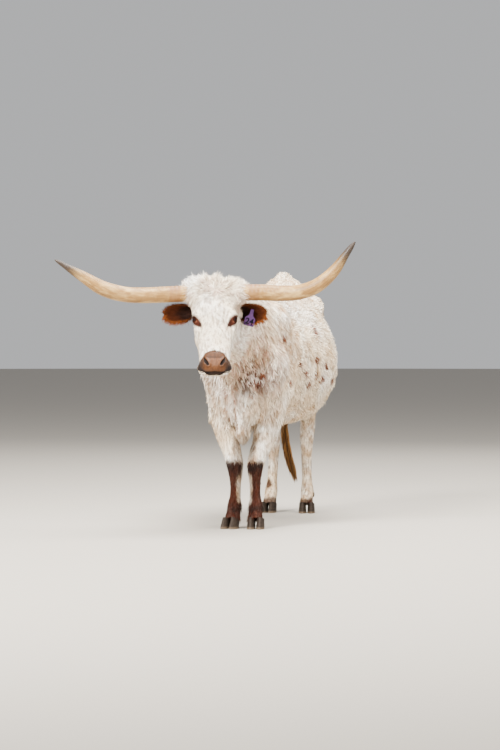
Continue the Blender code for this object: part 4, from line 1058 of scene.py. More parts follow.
def nose_marks(points, head, rough):
    """The nose's bare skin with painted shade in its dark corners, mouth line, hollows and grey sides, a
    darker arch and a paler plate with a painted highlight.
    """
    a, t, n = to_head(points).T
    z, off = points[:, 2], np.abs(a)
    mouth = n - mouth_level(a, t)
    nose = head * bare_nose(a, t, n, z)
    slant = 0.89 * (off - 0.037) - (z - 0.806)
    # Painted shade at the nose's lower corners and along its lower edge.
    corner = 0.95 * ease((slant + 0.003 + 0.005 * rough) / 0.018) * ease((t - 0.400) / 0.025)
    corner += 0.22 * ease((0.824 - z) / 0.016)
    # Painted shade along the mouth's line.
    mouth_seam_shade = bump(mouth, 0.0032) * (0.15 + 0.85 * ease((t - 0.415) / 0.02))
    arch = 0.35 * bump(z - 0.8750, 0.004) * ease((0.040 - off) / 0.012)
    arch += 0.20 * ease((z - 0.8715) / 0.004) * ease((0.060 - off) / 0.015)
    # The plate between the nostrils is paler, with a painted highlight along its top edge.
    plate = nose * (0.45 + 0.55 * bump(z - 0.8660, 0.0045)) * ease((0.036 - off) / 0.012)
    plate *= ease((0.8720 - z) / 0.004) * ease((z - 0.812) / 0.020)
    # Painted shade in the nostrils' hollows.
    hole = 1.3 * ease((0.0010 - nostril_distance(points)) / 0.0014)
    dark = nose * np.clip(corner + mouth_seam_shade + arch + hole, 0, 1)
    below = 0.72 * nose * ease(-mouth / 0.008)
    # Painted shade on the nose's sides, given as grey.
    grey = nose * ease((off - 0.042 + 0.006 * rough) / 0.024) * ease((0.874 - z) / 0.014)
    return nose, dark, below, grey, plate


def hide_marks(points):
    """Masks of the hide's markings and bare skin on each point of the own frame. Some are painted shade: in
    the chest's creases, under the horns, under the belly and the brisket, on the lower hind legs and round
    the nose; the nose's plate has a painted highlight.
    """
    a, t = to_head(points).T[:2]
    x, y, z = points.T
    off = np.abs(x)
    head = head_share(points)
    body = 1 - head
    rough = noise_at(points, 26.0, 5)
    broad = noise_at(points, 7.0, 6)
    ragged = noise_at(points * (1.0, 1.0, 0.30), 62.0, 9)
    brown, dark, knee_back = leg_marks(points, rough, ragged)
    # The nose's dark corners, mouth line and nostril hollows are painted shade; below darkens the lower lip
    # and chin.
    nose, corners, below, grey, plate = nose_marks(points, head, rough)
    dark = dark + corners + below
    red = head * eye_patch(points) * (1.10 + 0.15 * rough)
    chest = distance(points, CHEST_PATCH, (1.0, 1.0, 0.8))
    red += np.clip(1.25 * bump(chest, 0.125), 0, 1) * ease((ragged + 0.04) / 0.20) * body
    gold = bump(distance(points, (0.215, -0.400, 0.985), (1, 1, 1.3)), 0.13)
    # Gold low on the body behind the forelegs: straw tint, with painted shade under the belly.
    gold += 0.22 * ease((0.62 - z) / 0.10) * ease((z - 0.38) / 0.10) * (y > -0.3) * (off < 0.30)
    gold += knee_back
    gold += 0.50 * ease((broad - 0.05) / 0.4) * body * ease((z - 0.4) / 0.1)
    # Gold under the belly: straw tint, with painted shade.
    gold += 0.55 * ease((0.70 - z) / 0.16) * ease((y + 0.35) / 0.1) * ease((z - 0.45) / 0.05)
    gold += 0.25 * head * ease((t - 0.26) / 0.10)
    gold += 0.7 * bump(z - 0.86, 0.08) * bump(x - 0.02, 0.045) * (y < -0.6) * body
    # Painted shade in the two creases beside the dewlap, laid on as rose, gold and brown.
    crease_shade = chest_crease(points) * body
    rose = 1.2 * bump(distance(points, (0.06, -0.72, 0.84)), 0.24)
    rose += 0.20 * body * ease((0.05 - broad) / 0.4) + 0.8 * crease_shade
    gold += 0.4 * crease_shade
    brown += 0.30 * crease_shade
    rose += 0.45 * head * ease((rough - 0.25) / 0.3) * ease((t - 0.12) / 0.1)
    away = np.hypot(a, t - SWIRL[1])
    rays = columns(a, t - SWIRL[1], 0.0) / np.maximum(away, 1e-4)[:, None]
    rays[:, 2] = away * 9
    rays = ease((noise_at(rays, 3.6, 15) + 0.02) / 0.22) * bump(away, 0.115) * head
    rose += 0.75 * head * bump(away, 0.030) + 0.60 * rays
    red += 0.48 * rays
    # Painted shade under the horns' roots, laid on as rose and gold.
    shade_under_horns = head * bump(t - 0.070, 0.045) * ease((np.abs(a) - 0.085) / 0.03)
    rose += 0.9 * shade_under_horns
    gold += 0.4 * shade_under_horns
    udder = bump(y - 0.545, 0.12) * ease((0.66 - z) / 0.04) * (off < 0.09) * (z > 0.5)
    # Brown below the brisket: darker hair of its tuft, and painted shade under it.
    brown += 0.45 * ease((0.500 - z + 0.02 * rough) / 0.04) * (off < 0.06) * (y < -0.45)
    # Painted shade: more gold on the lower hind legs.
    gold += 0.45 * ease((0.62 - z) / 0.10) * (y > 0.3) * body
    # A gold base on the body, and more low on the barrel: straw tint, with painted shade under the belly.
    gold += 0.30 * body + 0.25 * ease((0.64 - z) / 0.12) * ease((y + 0.2) / 0.1) * (y < 0.35)
    gold += 0.38 * ease((z - 1.08) / 0.10) * ease((y + 0.3) / 0.1)
    # Gold below the brisket: tan hair of its tuft, and painted shade under it.
    gold += 0.6 * ease((0.56 - z) / 0.08) * (off < 0.07) * (y < -0.45)
    fleck = head * ease((t - 0.08) / 0.06) + 0.8 * ease((0.62 - z) / 0.15) * body
    bare = np.clip(nose, 0, 1)
    # On bare skin the Rose mask carries the plate's paler tone and painted highlight.
    marks = {"fleck": fleck, "red": red, "grey": grey, "brown": brown, "dark": dark, "bare": bare,
             "gold": np.minimum(gold, 0.72), "rose": mix(rose + udder, plate, bare)}
    return {name: np.clip(values, 0, 1) for name, values in marks.items()}


def coat_values(points, normals, bare):
    """Length, girth, lift and thickness of the coat at each point of the own frame."""
    a, t, n = to_head(points).T
    x, y, z = points.T
    sized = sizes()
    head = head_share(points)
    body = 1 - head
    low = ease((0.58 - z) / 0.14)
    neck = ease((-0.50 - y) / 0.10) * body
    length = mix(sized.trunk_length, sized.neck_length, neck)
    belly = ease((-normals[:, 2] - 0.4) / 0.3)
    length = mix(length, length * 1.25, belly)
    length = mix(length, sized.leg_length, low)
    crown = crown_share(a, t, n)
    face = mix(sized.face_length, sized.face_length * 0.5, ease((t - 0.22) / 0.16))
    face = mix(face, sized.face_length * 1.5, ease((-0.12 - n) / 0.05))
    clump = np.clip(1.6 * noise_at(points * (1.0, 0.8, 0.6), 34.0, 11), -1, 1)
    corner = bump(np.abs(a) - 0.105, 0.030) * ease((0.06 - t) / 0.03)
    peak = bump(a, 0.060) * ease((0.055 - t) / 0.03)
    beyond = ease((np.abs(a) - 0.112) / 0.02)
    poll = sized.crown_length * (0.95 + 0.40 * clump - 0.20 * corner - 0.50 * peak - 0.28 * beyond)
    face = mix(face, poll, crown)
    face = mix(face, sized.face_length * 0.45, ease((0.050 - eye_distance(points)) / 0.02))
    length = mix(length, face, head)
    brisket = ease((0.56 - z) / 0.06) * (np.abs(x) < 0.06) * (y < -0.45)
    length += brisket * 0.016
    tuft = bump(distance(points, (0.190, 0.430, 0.585)), 0.055)
    length *= 1 + 0.30 * clump * (1 - low) * body
    length *= 1 - 0.45 * ease((z - 1.10) / 0.10) * body
    front = ease((-0.60 - y) / 0.06) * body
    length *= 1 - 0.25 * front - 0.20 * front * ease((0.72 - z) / 0.06)
    length += 0.018 * tuft
    hips = ease((z - 1.14) / 0.06) * ease((y - 0.25) / 0.1) * body
    lift = 0.15 + 0.07 * neck + 0.12 * belly + 0.25 * tuft + 0.10 * clump + 0.22 * hips
    lift = mix(lift, 0.16, low)
    standing = crown * ease((0.06 - t) / 0.07) * (1 - 0.3 * corner)
    lift = mix(lift, mix(0.16 + 0.05 * clump, 0.50 + 0.35 * clump, standing), head)
    girth = mix(mix(0.0056, 0.0032, low), mix(0.0026, 0.0042, crown), head)
    return {"length": length, "girth": girth, "lift": lift, "thick": np.clip(1 - bare * 1.4, 0, 1)}


# Coat


def tuft_mesh(name, bend, steps):
    """A lock of unit length and width that runs along Y, three-sided, with its root sunk below the origin."""
    bm = bmesh.new()
    tip_layer = bm.verts.layers.float.new("tip")
    patch_layer = bm.verts.layers.float_vector.new("patch")

    def added(place, share, across):
        """A vertex that knows its share of the length and its place on the patch."""
        vert = bm.verts.new(place)
        vert[tip_layer] = share
        vert[patch_layer] = Vector((across + 0.5, share, 0))
        return vert

    rings = []
    for share in (k / steps for k in range(steps)):
        wide = 0.5 * (1 - LOCK_TAPER * share**1.6)
        middle = Vector((bend * share**2, share - 0.05, 0.34 * share * (1 - share) - 0.02))
        corners = ((-wide, 0.0), (wide, 0.0), (0.0, 0.035 * (1 - share * 0.5)))
        rings.append([added(middle + Vector((across, 0, up)), share, across) for across, up in corners])
    tip = added(Vector((bend, 1.0, 0.03)), 1.0, 0.0)
    bm.faces.new(rings[0][::-1])
    bridge(bm, rings)
    for i in range(3):
        bm.faces.new((rings[-1][i], rings[-1][(i + 1) % 3], tip))
    mesh = finished(bm, name)
    mesh.shade_smooth()
    return mesh


def tuft_collection(name):
    """Locks of several bends, outside the scene."""
    group = bpy.data.collections.new(name)
    bends, steps = LOCKS[name]
    for i, bend in enumerate(bends):
        group.objects.link(bpy.data.objects.new(f"{name}_{i}", tuft_mesh(f"{name}_{i}", bend, steps)))
    return group


def put(tree, kind, inputs=None, **settings):
    """A new node with these settings. Its inputs, by name or number, take sockets or values."""
    made = tree.nodes.new(kind)
    for name, value in settings.items():
        setattr(made, name, value)
    for name, value in (inputs or {}).items():
        if isinstance(value, bpy.types.NodeSocket):
            tree.links.new(value, made.inputs[name])
        else:
            made.inputs[name].default_value = value
    return made


def calc(tree, operation, *values):
    """The value of a Math node on sockets or numbers."""
    return put(tree, "ShaderNodeMath", dict(enumerate(values)), operation=operation).outputs[0]


def times(tree, a, b):
    return calc(tree, "MULTIPLY", a, b)


def scaled(tree, value, factor, more):
    """A value times a factor, plus more."""
    return calc(tree, "MULTIPLY_ADD", value, factor, more)


def combined(tree, *parts):
    """A vector from its parts."""
    return put(tree, "ShaderNodeCombineXYZ", dict(enumerate(parts))).outputs[0]


def attribute_of(tree, name, kind="FLOAT"):
    """The value of a named attribute in a geometry tree."""
    return put(tree, "GeometryNodeInputNamedAttribute", {"Name": name}, data_type=kind).outputs["Attribute"]


def stored(tree, geometry, name, value, kind="FLOAT"):
    """The points with a value kept on them under a name."""
    return put(tree, "GeometryNodeStoreNamedAttribute", {"Name": name, "Geometry": geometry, "Value": value},
               data_type=kind, domain="POINT").outputs["Geometry"]


def drawn(tree, low, high, seed, step=0):
    """A random number for each point, from the seed or from a step after it."""
    seed = calc(tree, "ADD", seed, step) if step else seed
    return put(tree, "FunctionNodeRandomValue", {2: low, 3: high, "Seed": seed}, data_type="FLOAT").outputs[1]


def coat_tree():
    """Sets locks over a surface by its length, girth, lift, lie and thick attributes."""
    tree = bpy.data.node_groups.new("lay coat", "GeometryNodeTree")
    for name, kind, value in (("Geometry", "Geometry", None), ("Spacing", "Float", 0.005),
                              ("Yaw", "Float", 0.3), ("Seed", "Int", 1), ("Locks", "Collection", None),
                              ("Material", "Material", None)):
        socket = tree.interface.new_socket(name, in_out="INPUT", socket_type=f"NodeSocket{kind}")
        if value:
            socket.default_value = value
    tree.interface.new_socket("Geometry", in_out="OUTPUT", socket_type="NodeSocketGeometry")
    given = put(tree, "NodeGroupInput").outputs
    spacing, seed = given["Spacing"], given["Seed"]
    points = put(tree, "GeometryNodeDistributePointsOnFaces", {
        "Mesh": given["Geometry"], "Distance Min": spacing, "Seed": seed,
        "Density Max": calc(tree, "DIVIDE", 2.4, times(tree, spacing, spacing)),
        "Density Factor": attribute_of(tree, "thick")}, distribute_method="POISSON").outputs
    place = put(tree, "GeometryNodeInputPosition").outputs[0]
    roots = stored(tree, points["Points"], "root", place, "FLOAT_VECTOR")
    roots = stored(tree, roots, "shade", drawn(tree, 0.0, 1.0, seed))
    stand = put(tree, "FunctionNodeAlignRotationToVector", {"Vector": points["Normal"]}, axis="Z").outputs[0]
    lie = attribute_of(tree, "lie", "FLOAT_VECTOR")
    turn = put(tree, "FunctionNodeAlignRotationToVector", {"Rotation": stand, "Vector": lie},
               axis="Y", pivot_axis="Z").outputs[0]
    lift = times(tree, attribute_of(tree, "lift"), drawn(tree, 0.45, 1.55, seed, 1))
    yaw = times(tree, given["Yaw"], drawn(tree, -1.0, 1.0, seed, 2))
    angles = combined(tree, lift, drawn(tree, -0.5, 0.5, seed, 3), yaw)
    tilt = put(tree, "FunctionNodeEulerToRotation", {0: angles}).outputs[0]
    tilt = put(tree, "FunctionNodeRotateRotation", {"Rotation": turn, "Rotate By": tilt},
               rotation_space="LOCAL")
    long = times(tree, attribute_of(tree, "length"), drawn(tree, 0.7, 1.25, seed, 4))
    wide = times(tree, attribute_of(tree, "girth"), drawn(tree, 0.7, 1.3, seed, 5))
    locks = put(tree, "GeometryNodeCollectionInfo", {
        "Collection": given["Locks"], "Separate Children": True, "Reset Children": True},
        transform_space="ORIGINAL").outputs[0]
    spread = put(tree, "GeometryNodeInstanceOnPoints", {
        "Points": roots, "Instance": locks, "Pick Instance": True, "Rotation": tilt.outputs[0],
        "Scale": combined(tree, wide, long, long)}).outputs[0]
    real = put(tree, "GeometryNodeRealizeInstances", {0: spread}).outputs[0]
    paint = put(tree, "GeometryNodeSetMaterial", {"Geometry": real, "Material": given["Material"]})
    put(tree, "NodeGroupOutput", {0: paint.outputs[0]})
    return tree


def laid(name, surface, hair, locks, material, place):
    """The coat over a surface as a plain mesh piece. hair is the spacing, the yaw and the seed of its locks,
    and place turns their roots into spots of the unit square."""
    obj = linked(name, surface)
    modifier = obj.modifiers.new("coat", "NODES")
    modifier.node_group = SHARED["tree"]
    wanted = dict(zip(("Spacing", "Yaw", "Seed", "Locks", "Material"), (*hair, locks, material)))
    for item in SHARED["tree"].interface.items_tree:
        if item.in_out == "INPUT" and item.name in wanted:
            modifier[item.identifier] = wanted[item.name]
    mesh = applied(obj)
    spots = place(kept(mesh, "root", 3)) + (kept(mesh, "patch", 3)[:, :2] - 0.5) * PATCH
    corners = np.empty(len(mesh.loops), np.int32)
    mesh.loops.foreach_get("vertex_index", corners)
    layer = mesh.uv_layers.get("OFBake") or mesh.uv_layers.new(name="OFBake")
    layer.uv.foreach_set("vector", np.ascontiguousarray(spots[corners], np.float32).ravel())
    for spare in ("length", "girth", "lift", "lie", "thick", "patch", "id"):
        if spare in mesh.attributes:
            mesh.attributes.remove(mesh.attributes[spare])
    mesh.name = name
    settled(linked(name, mesh))


def settled(obj, nodes=()):
    """Rides the piece on the body and hides the solids it stands for."""
    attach(obj, "root")
    if nodes:
        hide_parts(*nodes)


def dressed(name, mesh, material, nodes=(), sharp=None):
    """A smooth piece of one material. Edges of more than sharp degrees stay sharp."""
    mesh.materials.append(material)
    mesh.shade_smooth()
    if sharp:
        mesh.set_sharp_from_angle(angle=math.radians(sharp))
    settled(linked(name, mesh), nodes)


# Materials


def blended(tree, share, a, b):
    """One colour mixed into another. Each is a socket or a colour."""
    a, b = (c if isinstance(c, bpy.types.NodeSocket) else (*c[:3], 1) for c in (a, b))
    return put(tree, "ShaderNodeMix", {0: share, 6: a, 7: b}, data_type="RGBA").outputs[2]


def lumps(tree, vector, scale, detail=3.0, rough=0.5):
    """The value of a noise texture on a vector."""
    inputs = {"Vector": vector, "Scale": scale, "Detail": detail, "Roughness": rough}
    return put(tree, "ShaderNodeTexNoise", inputs).outputs[0]


def ramp(tree, value, low, high):
    """A value eased from 0 at low to 1 at high."""
    inputs = {"Value": value, "From Min": low, "From Max": high}
    return put(tree, "ShaderNodeMapRange", inputs, interpolation_type="SMOOTHSTEP").outputs["Result"]


def speckles(tree, vector, scale, share, size):
    """Round specks in a share of a Voronoi pattern's cells."""
    cells = put(tree, "ShaderNodeTexVoronoi", {"Vector": vector, "Scale": scale}).outputs
    split = put(tree, "ShaderNodeSeparateColor", {0: cells["Color"]}).outputs
    chosen = ramp(tree, split[0], 1 - share - 0.02, 1 - share + 0.02)
    radius = scaled(tree, split[1], size * 0.7, size * 0.5)
    near = calc(tree, "SUBTRACT", radius, cells["Distance"])
    return times(tree, chosen, ramp(tree, near, -0.04, 0.06))


def vector_calc(tree, operation, *values):
    """A Vector Math node on sockets or vectors."""
    return put(tree, "ShaderNodeVectorMath", dict(enumerate(values)), operation=operation)


def stretched(tree, vector, scale):
    """A vector with its axes scaled."""
    return put(tree, "ShaderNodeMapping", {"Scale": scale, "Vector": vector}).outputs[0]


def parts_of(tree, vector):
    """The three parts of a vector."""
    return put(tree, "ShaderNodeSeparateXYZ", {0: vector}).outputs


def object_place(tree):
    return put(tree, "ShaderNodeTexCoord").outputs["Object"]


def field(tree, name, output="Fac"):
    """A value kept on the surface. The output Vector gives all its parts."""
    made = put(tree, "ShaderNodeAttribute", attribute_type="GEOMETRY", attribute_name=name)
    return made.outputs[output]


def markings_group(colours):
    """The hide's colour by place: cream with gold and rose tints, freckles, spots, and brown legs, then
    painted shade and highlight from the masks, at the locks' roots and tips and in streaks between clumps.
    """
    tree = bpy.data.node_groups.new("hide markings", "ShaderNodeTree")
    tree.interface.new_socket("Place", in_out="INPUT", socket_type="NodeSocketVector")
    for label, value in (*((mask, 0.0) for mask in MASKS), ("Shade", 0.5), ("Tip", 0.6)):
        tree.interface.new_socket(label, in_out="INPUT", socket_type="NodeSocketFloat").default_value = value
    tree.interface.new_socket("Color", in_out="OUTPUT", socket_type="NodeSocketColor")
    given = put(tree, "NodeGroupInput").outputs
    place = given["Place"]
    warp = put(tree, "ShaderNodeTexNoise", {"Vector": place, "Scale": 34.0}).outputs["Color"]
    bent = vector_calc(tree, "MULTIPLY_ADD", warp, (0.018, 0.018, 0.018), place).outputs[0]
    bent = vector_calc(tree, "SUBTRACT", bent, (0.009, 0.009, 0.009)).outputs[0]
    colour = blended(tree, ramp(tree, lumps(tree, place, 5.0), 0.35, 0.70), colours.cream, colours.white)
    gold = times(tree, given["Gold"], ramp(tree, lumps(tree, place, 22.0), 0.25, 0.70))
    colour = blended(tree, gold, colour, colours.gold)
    rose = times(tree, given["Rose"], ramp(tree, lumps(tree, place, 60.0), 0.35, 0.72))
    colour = blended(tree, times(tree, rose, 0.70), colour, colours.rose)
    patchy = ramp(tree, lumps(tree, place, 4.0, 2.0), 0.42, 0.62)
    small = times(tree, speckles(tree, bent, 46.0, 0.18, 0.32), patchy)
    colour = blended(tree, times(tree, small, 0.75), colour, colours.freckle)
    fleck = times(tree, speckles(tree, bent, 95.0, 0.22, 0.42), given["Fleck"])
    colour = blended(tree, times(tree, fleck, 0.45), colour, colours.freckle)
    spots = 0.0
    for spot, radius in SPOTS:
        away = vector_calc(tree, "DISTANCE", bent, spot).outputs["Value"]
        near = ramp(tree, calc(tree, "DIVIDE", away, -radius), -1.15, -0.75)
        spots = calc(tree, "MAXIMUM", spots, near)
    colour = blended(tree, times(tree, spots, 0.96), colour, colours.spot)
    colour = blended(tree, given["Red"], colour, colours.red)
    uneven = ramp(tree, lumps(tree, place, 90.0), 0.30, 0.60)
    brown = times(tree, given["Brown"], scaled(tree, uneven, 0.03, 0.97))
    colour = blended(tree, brown, colour, colours.brown)
    mottled = times(tree, ramp(tree, lumps(tree, place, 60.0), 0.40, 0.70), 0.45)
    skin = blended(tree, mottled, colours.nose, colours.nose_dark)
    # Painted shade on the nose's sides (Grey).
    skin = blended(tree, times(tree, given["Grey"], 0.90), skin, colours.nose_dark)
    # Rose on bare skin: the plate's pink and its painted highlight.
    skin = blended(tree, times(tree, given["Rose"], 0.60), skin, colours.nose_pink)
    colour = blended(tree, given["Bare"], colour, skin)
    # Dark: the darkest hair of knees and fetlocks, and painted shade in the nostrils, along the mouth's line
    # and at the nose's corners.
    colour = blended(tree, given["Dark"], colour, colours.darkest)
    # Painted light and shade: each lock darker at its root and brighter at its tip (Tip), darker in stretched
    # streaks between clumps, the shade tinted warmer where it deepens. Shade is each lock's own random tone.
    light = times(tree, scaled(tree, given["Shade"], 0.50, 0.72), scaled(tree, given["Tip"], 0.48, 0.76))
    strand_shade = lumps(tree, stretched(tree, place, (1.0, 0.65, 0.24)), 115.0, 2.0)
    strand_shade = calc(tree, "MAXIMUM", ramp(tree, strand_shade, 0.30, 0.58), times(tree, given["Bare"], 0.60))
    light = times(tree, light, scaled(tree, strand_shade, 0.66, 0.54))
    shade_tint = combined(tree, *(calc(tree, "POWER", light, power) for power in (0.92, 1.10, 1.28)))
    put(tree, "NodeGroupOutput", {0: vector_calc(tree, "MULTIPLY", colour, shade_tint).outputs[0]})
    return tree


def new_material(name, roughness):
    """A node material, its tree and its shader."""
    made = bpy.data.materials.new(name)
    made.use_nodes = True
    tree = made.node_tree
    shader = tree.nodes["Principled BSDF"]
    shader.inputs["Roughness"].default_value = roughness
    return made, tree, shader


def relief(tree, shader, height, depth, strength=0.6):
    """Feeds a height to the shader's normal."""
    made = put(tree, "ShaderNodeBump", {"Distance": depth, "Strength": strength, "Height": height})
    tree.links.new(made.outputs[0], shader.inputs["Normal"])


def painted(tree, shader, colour, specular=0.5):
    """Feeds a colour to the shader."""
    tree.links.new(colour, shader.inputs["Base Color"])
    shader.inputs["Specular IOR Level"].default_value = specular


def hide_material(name):
    """Skin and coat alike: the markings by root."""
    made, tree, shader = new_material(name, 0.72)
    marks = put(tree, "ShaderNodeGroup", node_tree=SHARED["marks"])
    tree.links.new(field(tree, "root", "Vector"), marks.inputs["Place"])
    for label in (*MASKS, "Shade", "Tip"):
        tree.links.new(field(tree, label.lower()), marks.inputs[label])
    painted(tree, shader, marks.outputs[0], 0.15)
    return made, tree, shader


def skin_material():
    """The hide under the coat: fine hair streaks, and glossier pebbles on the bare nose."""
    made, tree, shader = hide_material("cream hide")
    place, bare = object_place(tree), field(tree, "bare")
    cells = put(tree, "ShaderNodeTexVoronoi", {"Vector": place, "Scale": 330.0}).outputs["Distance"]
    hair = lumps(tree, place, 420.0, 2.0)
    height = put(tree, "ShaderNodeMix", {0: bare, 2: hair, 3: cells}, data_type="FLOAT").outputs[0]
    relief(tree, shader, height, 0.0012)
    rough = scaled(tree, field(tree, "dark"), 0.50, scaled(tree, bare, -0.34, 0.74))
    tree.links.new(rough, shader.inputs["Roughness"])
    return made


# Sizes and colours that a user would change


def length_of(name, text, value):
    return FloatProperty(name=name, description=text, default=value, unit="LENGTH")


class LonghornSizes(bpy.types.PropertyGroup):
    coat_depth: length_of("Coat depth", "How far the skin lies inside the solids", 0.008)
    trunk_length: length_of("Trunk hair", "Length of a lock on the trunk", 0.031)
    neck_length: length_of("Neck hair", "Length of a lock on the neck", 0.042)
    face_length: length_of("Face hair", "Length of a lock on the brow", 0.012)
    crown_length: length_of("Poll hair", "Length of a lock between the horns", 0.048)
    leg_length: length_of("Leg hair", "Length of a lock below the knee", 0.012)
    crown_spacing: length_of("Poll spacing", "Between locks on the poll", 0.0031)
    face_spacing: length_of("Face spacing", "Between locks on the face", 0.0034)
    neck_spacing: length_of("Neck spacing", "Between locks on the neck", 0.0060)
    trunk_spacing: length_of("Trunk spacing", "Between locks on the trunk", 0.0068)
    leg_spacing: length_of("Leg spacing", "Between locks on the legs", 0.0046)
    switch_length: length_of("Switch hair", "Length of a lock of the switch", 0.150)
    tag_number: StringProperty(name="Tag number", description="Plain figures on the ear tag", default="24")
    seed: IntProperty(name="Seed", description="Draw of the coat", default=3)


def colour_of(name, text, value):
    return FloatVectorProperty(name=name, description=text, default=value, subtype="COLOR", min=0, max=1)


class LonghornColours(bpy.types.PropertyGroup):
    cream: colour_of("Cream", "Warm parts of the coat", (0.92, 0.80, 0.615))
    white: colour_of("White", "Palest parts of the coat", (0.99, 0.97, 0.92))
    # Gold is the coat's straw tint; under the belly and the brisket, on the lower hind legs, in the chest's
    # creases and under the horns it is laid as painted shade.
    gold: colour_of("Gold", "Straw tint in hollows and under the belly", (0.50, 0.285, 0.100))
    rose: colour_of("Rose", "Thin coat over pink skin", (0.46, 0.19, 0.13))
    freckle: colour_of("Freckle", "Small freckles", (0.20, 0.065, 0.035))
    spot: colour_of("Spot", "Red-brown spots", (0.14, 0.030, 0.010))
    red: colour_of("Red", "Round the eyes and on the chest", (0.066, 0.0155, 0.0070))
    brown: colour_of("Red-brown", "Legs and eye rims", (0.043, 0.0084, 0.0027))
    # Dark brown: the knees' hair, and painted shade in the nostrils, along the mouth's line and at the nose's
    # corners.
    darkest: colour_of("Dark brown", "Knees, nostrils and lip corners", (0.010, 0.006, 0.005))
    nose: colour_of("Nose", "Bare skin of the nose", (0.076, 0.0275, 0.0090))
    # Nose plate: paler skin between the nostrils, and the painted highlight along its top edge.
    nose_pink: colour_of("Nose plate", "Paler bare skin between the nostrils", (0.128, 0.054, 0.025))
    # Nose shade: random mottling of the nose, and painted shade on its sides.
    nose_dark: colour_of("Nose shade", "Darker mottling of the nose", (0.026, 0.0145, 0.0100))
    horn: colour_of("Horn", "Middle of the horns", (0.305, 0.165, 0.046))
    horn_tip: colour_of("Horn tip", "Tips of the horns", (0.030, 0.019, 0.013))
    hoof: colour_of("Hoof", "Horn of the hooves", (0.014, 0.0095, 0.0070))
    # Tag: the plastic's purple, darkened as painted shade.
    tag: colour_of("Tag", "Plastic of the ear tag", (0.040, 0.0155, 0.058))
    switch: colour_of("Switch", "Golden hair of the switch", (0.36, 0.175, 0.048))
    floor: colour_of("Floor", "Studio floor", (0.36, 0.330, 0.290))


def sizes():
    return bpy.context.scene.longhorn_sizes


def colours():
    return bpy.context.scene.longhorn_colours


class LONGHORN_OT_skin(bpy.types.Operator):
    """Make the hide in one piece"""

    bl_idname = "longhorn.skin"
    bl_label = "Skin"

    def execute(self, context):
        mesh, SHARED["surface"] = skin_mesh(sizes().coat_depth)
        points, normals = coords(mesh), coords(mesh, "normal")
        marks = hide_marks(points)
        keep(mesh, **marks, **coat_values(points, normals, marks["bare"]))
        keep(mesh, lie=lie_of_hair(points, normals), region=regions(points))
        SHARED["own"] = mesh.copy()
        SHARED["home"] = home()
        bring_home(mesh)
        # The bare hide takes a low Tip, so it gets the painted shade of the locks' roots.
        keep(mesh, shade=0.45, tip=0.35)
        SHARED["marks"] = markings_group(colours())
        SHARED["hide"] = skin_material()
        mesh.materials.clear()
        mesh.name = "skin"
        dressed("skin", mesh, SHARED["hide"], FLESH)
        return {"FINISHED"}


class LONGHORN_OT_coat(bpy.types.Operator):
    """Lay the coat over the hide, one piece for each region"""

    bl_idname = "longhorn.coat"
    bl_label = "Coat"

    def execute(self, context):
        SHARED["tree"] = coat_tree()
        SHARED["short"] = tuft_collection("tuft")
        shaggy = tuft_collection("shaggy")
        SHARED["long"] = tuft_collection("lock")
        SHARED["coat"] = hide_material("cream coat")[0]
        locks = {"crown": SHARED["long"], **dict.fromkeys(REGIONS[2:8], shaggy)}
        own = SHARED["own"]
        found, thick = kept(own, "region"), kept(own, "thick")
        for i, name in enumerate(REGIONS):
            surface = own.copy()
            keep(surface, thick=thick * (found == i))
            surface.transform(Matrix.Translation(SHARED["home"]))
            spacing = getattr(sizes(), COAT_SPACING.get(name, "trunk_spacing"))
            hair = (spacing, COAT_YAW.get(name, TRUNK_YAW), sizes().seed + 10 * i)
            laid(f"coat_{name}", surface, hair, locks.get(name, SHARED["short"]), SHARED["coat"],
                 lambda roots, i=i: unwrap(roots - np.array(SHARED["home"]), i))
        return {"FINISHED"}


# Eyes


def opening(turn):
    """The slit's edge as (along, over) for a turn round it, pointed at its corners."""
    return EYE_OPENING[0] * math.cos(turn), EYE_OPENING[1] * powered(math.sin(turn), 1.25)


def lid_mesh(side, surface):
    """Both lids as one rolled ring that hugs the eyeball and runs out onto the face."""
    centre = eye_centre(side)
    look, slit, over = eye_axes(side)
    radius = EYEBALL + 0.0008
    bm = bmesh.new()
    loops = []
    for scale, share, stand in LID_ROWS:
        loop = []
        for turn in turns(LID_SIDES):
            s, o = opening(turn)
            s, o = s * scale, o * (scale + 0.25 * (scale - 1))
            flat = centre + slit * s + over * o
            depth = math.sqrt(max(radius**2 - s * s - o * o, (0.18 * radius) ** 2))
            hugging = flat + look * depth
            hit = surface.ray_cast(flat + look * 0.08, -look)[0] or hugging
            loop.append(bm.verts.new(hugging.lerp(hit, share) + look * stand))
        loops.append(loop)
    bridge(bm, loops)
    mesh = meshed(bm, "lid")
    if np.mean(coords(mesh, "normal") @ np.array(look)) < 0:
        mesh.flip_normals()
    outward = coords(mesh) - np.array(centre)
    outward -= np.outer(outward @ np.array(look), np.array(look))
    row = np.repeat(np.linspace(0, 1, len(LID_ROWS)), LID_SIDES)
    keep(mesh, lie=unit(outward + 0.010 * np.array(slit)), row=row)
    return mesh


def mark_lid(mesh, side):
    """Keeps the colours and the hair of a lid on it: dark at its rim, red-brown beyond."""
    row = kept(mesh, "row")
    ring = eye_patch(coords(mesh))
    outer = -(coords(mesh) - np.array(eye_centre(side))) @ np.array(eye_axes(side)[1])
    reach = mix(0.42, 0.90, ease((outer + 0.008) / 0.016))
    rim = ease((reach - row) / 0.2) * mix(0.60, 0.95, ease((outer + 0.006) / 0.012))
    rim = np.maximum(rim, 0.75 * ring * ease((-outer - 0.024) / 0.012))
    keep(mesh, red=ring, brown=0.0, dark=rim, bare=0.0, grey=0.0, fleck=0.0, gold=0.0, rose=0.4 * (1 - ring),
         shade=0.45, tip=0.5, length=0.0045 + 0.004 * row, girth=0.0013, lift=0.30 - 0.1 * row,
         thick=ease((row - 0.22) / 0.1))


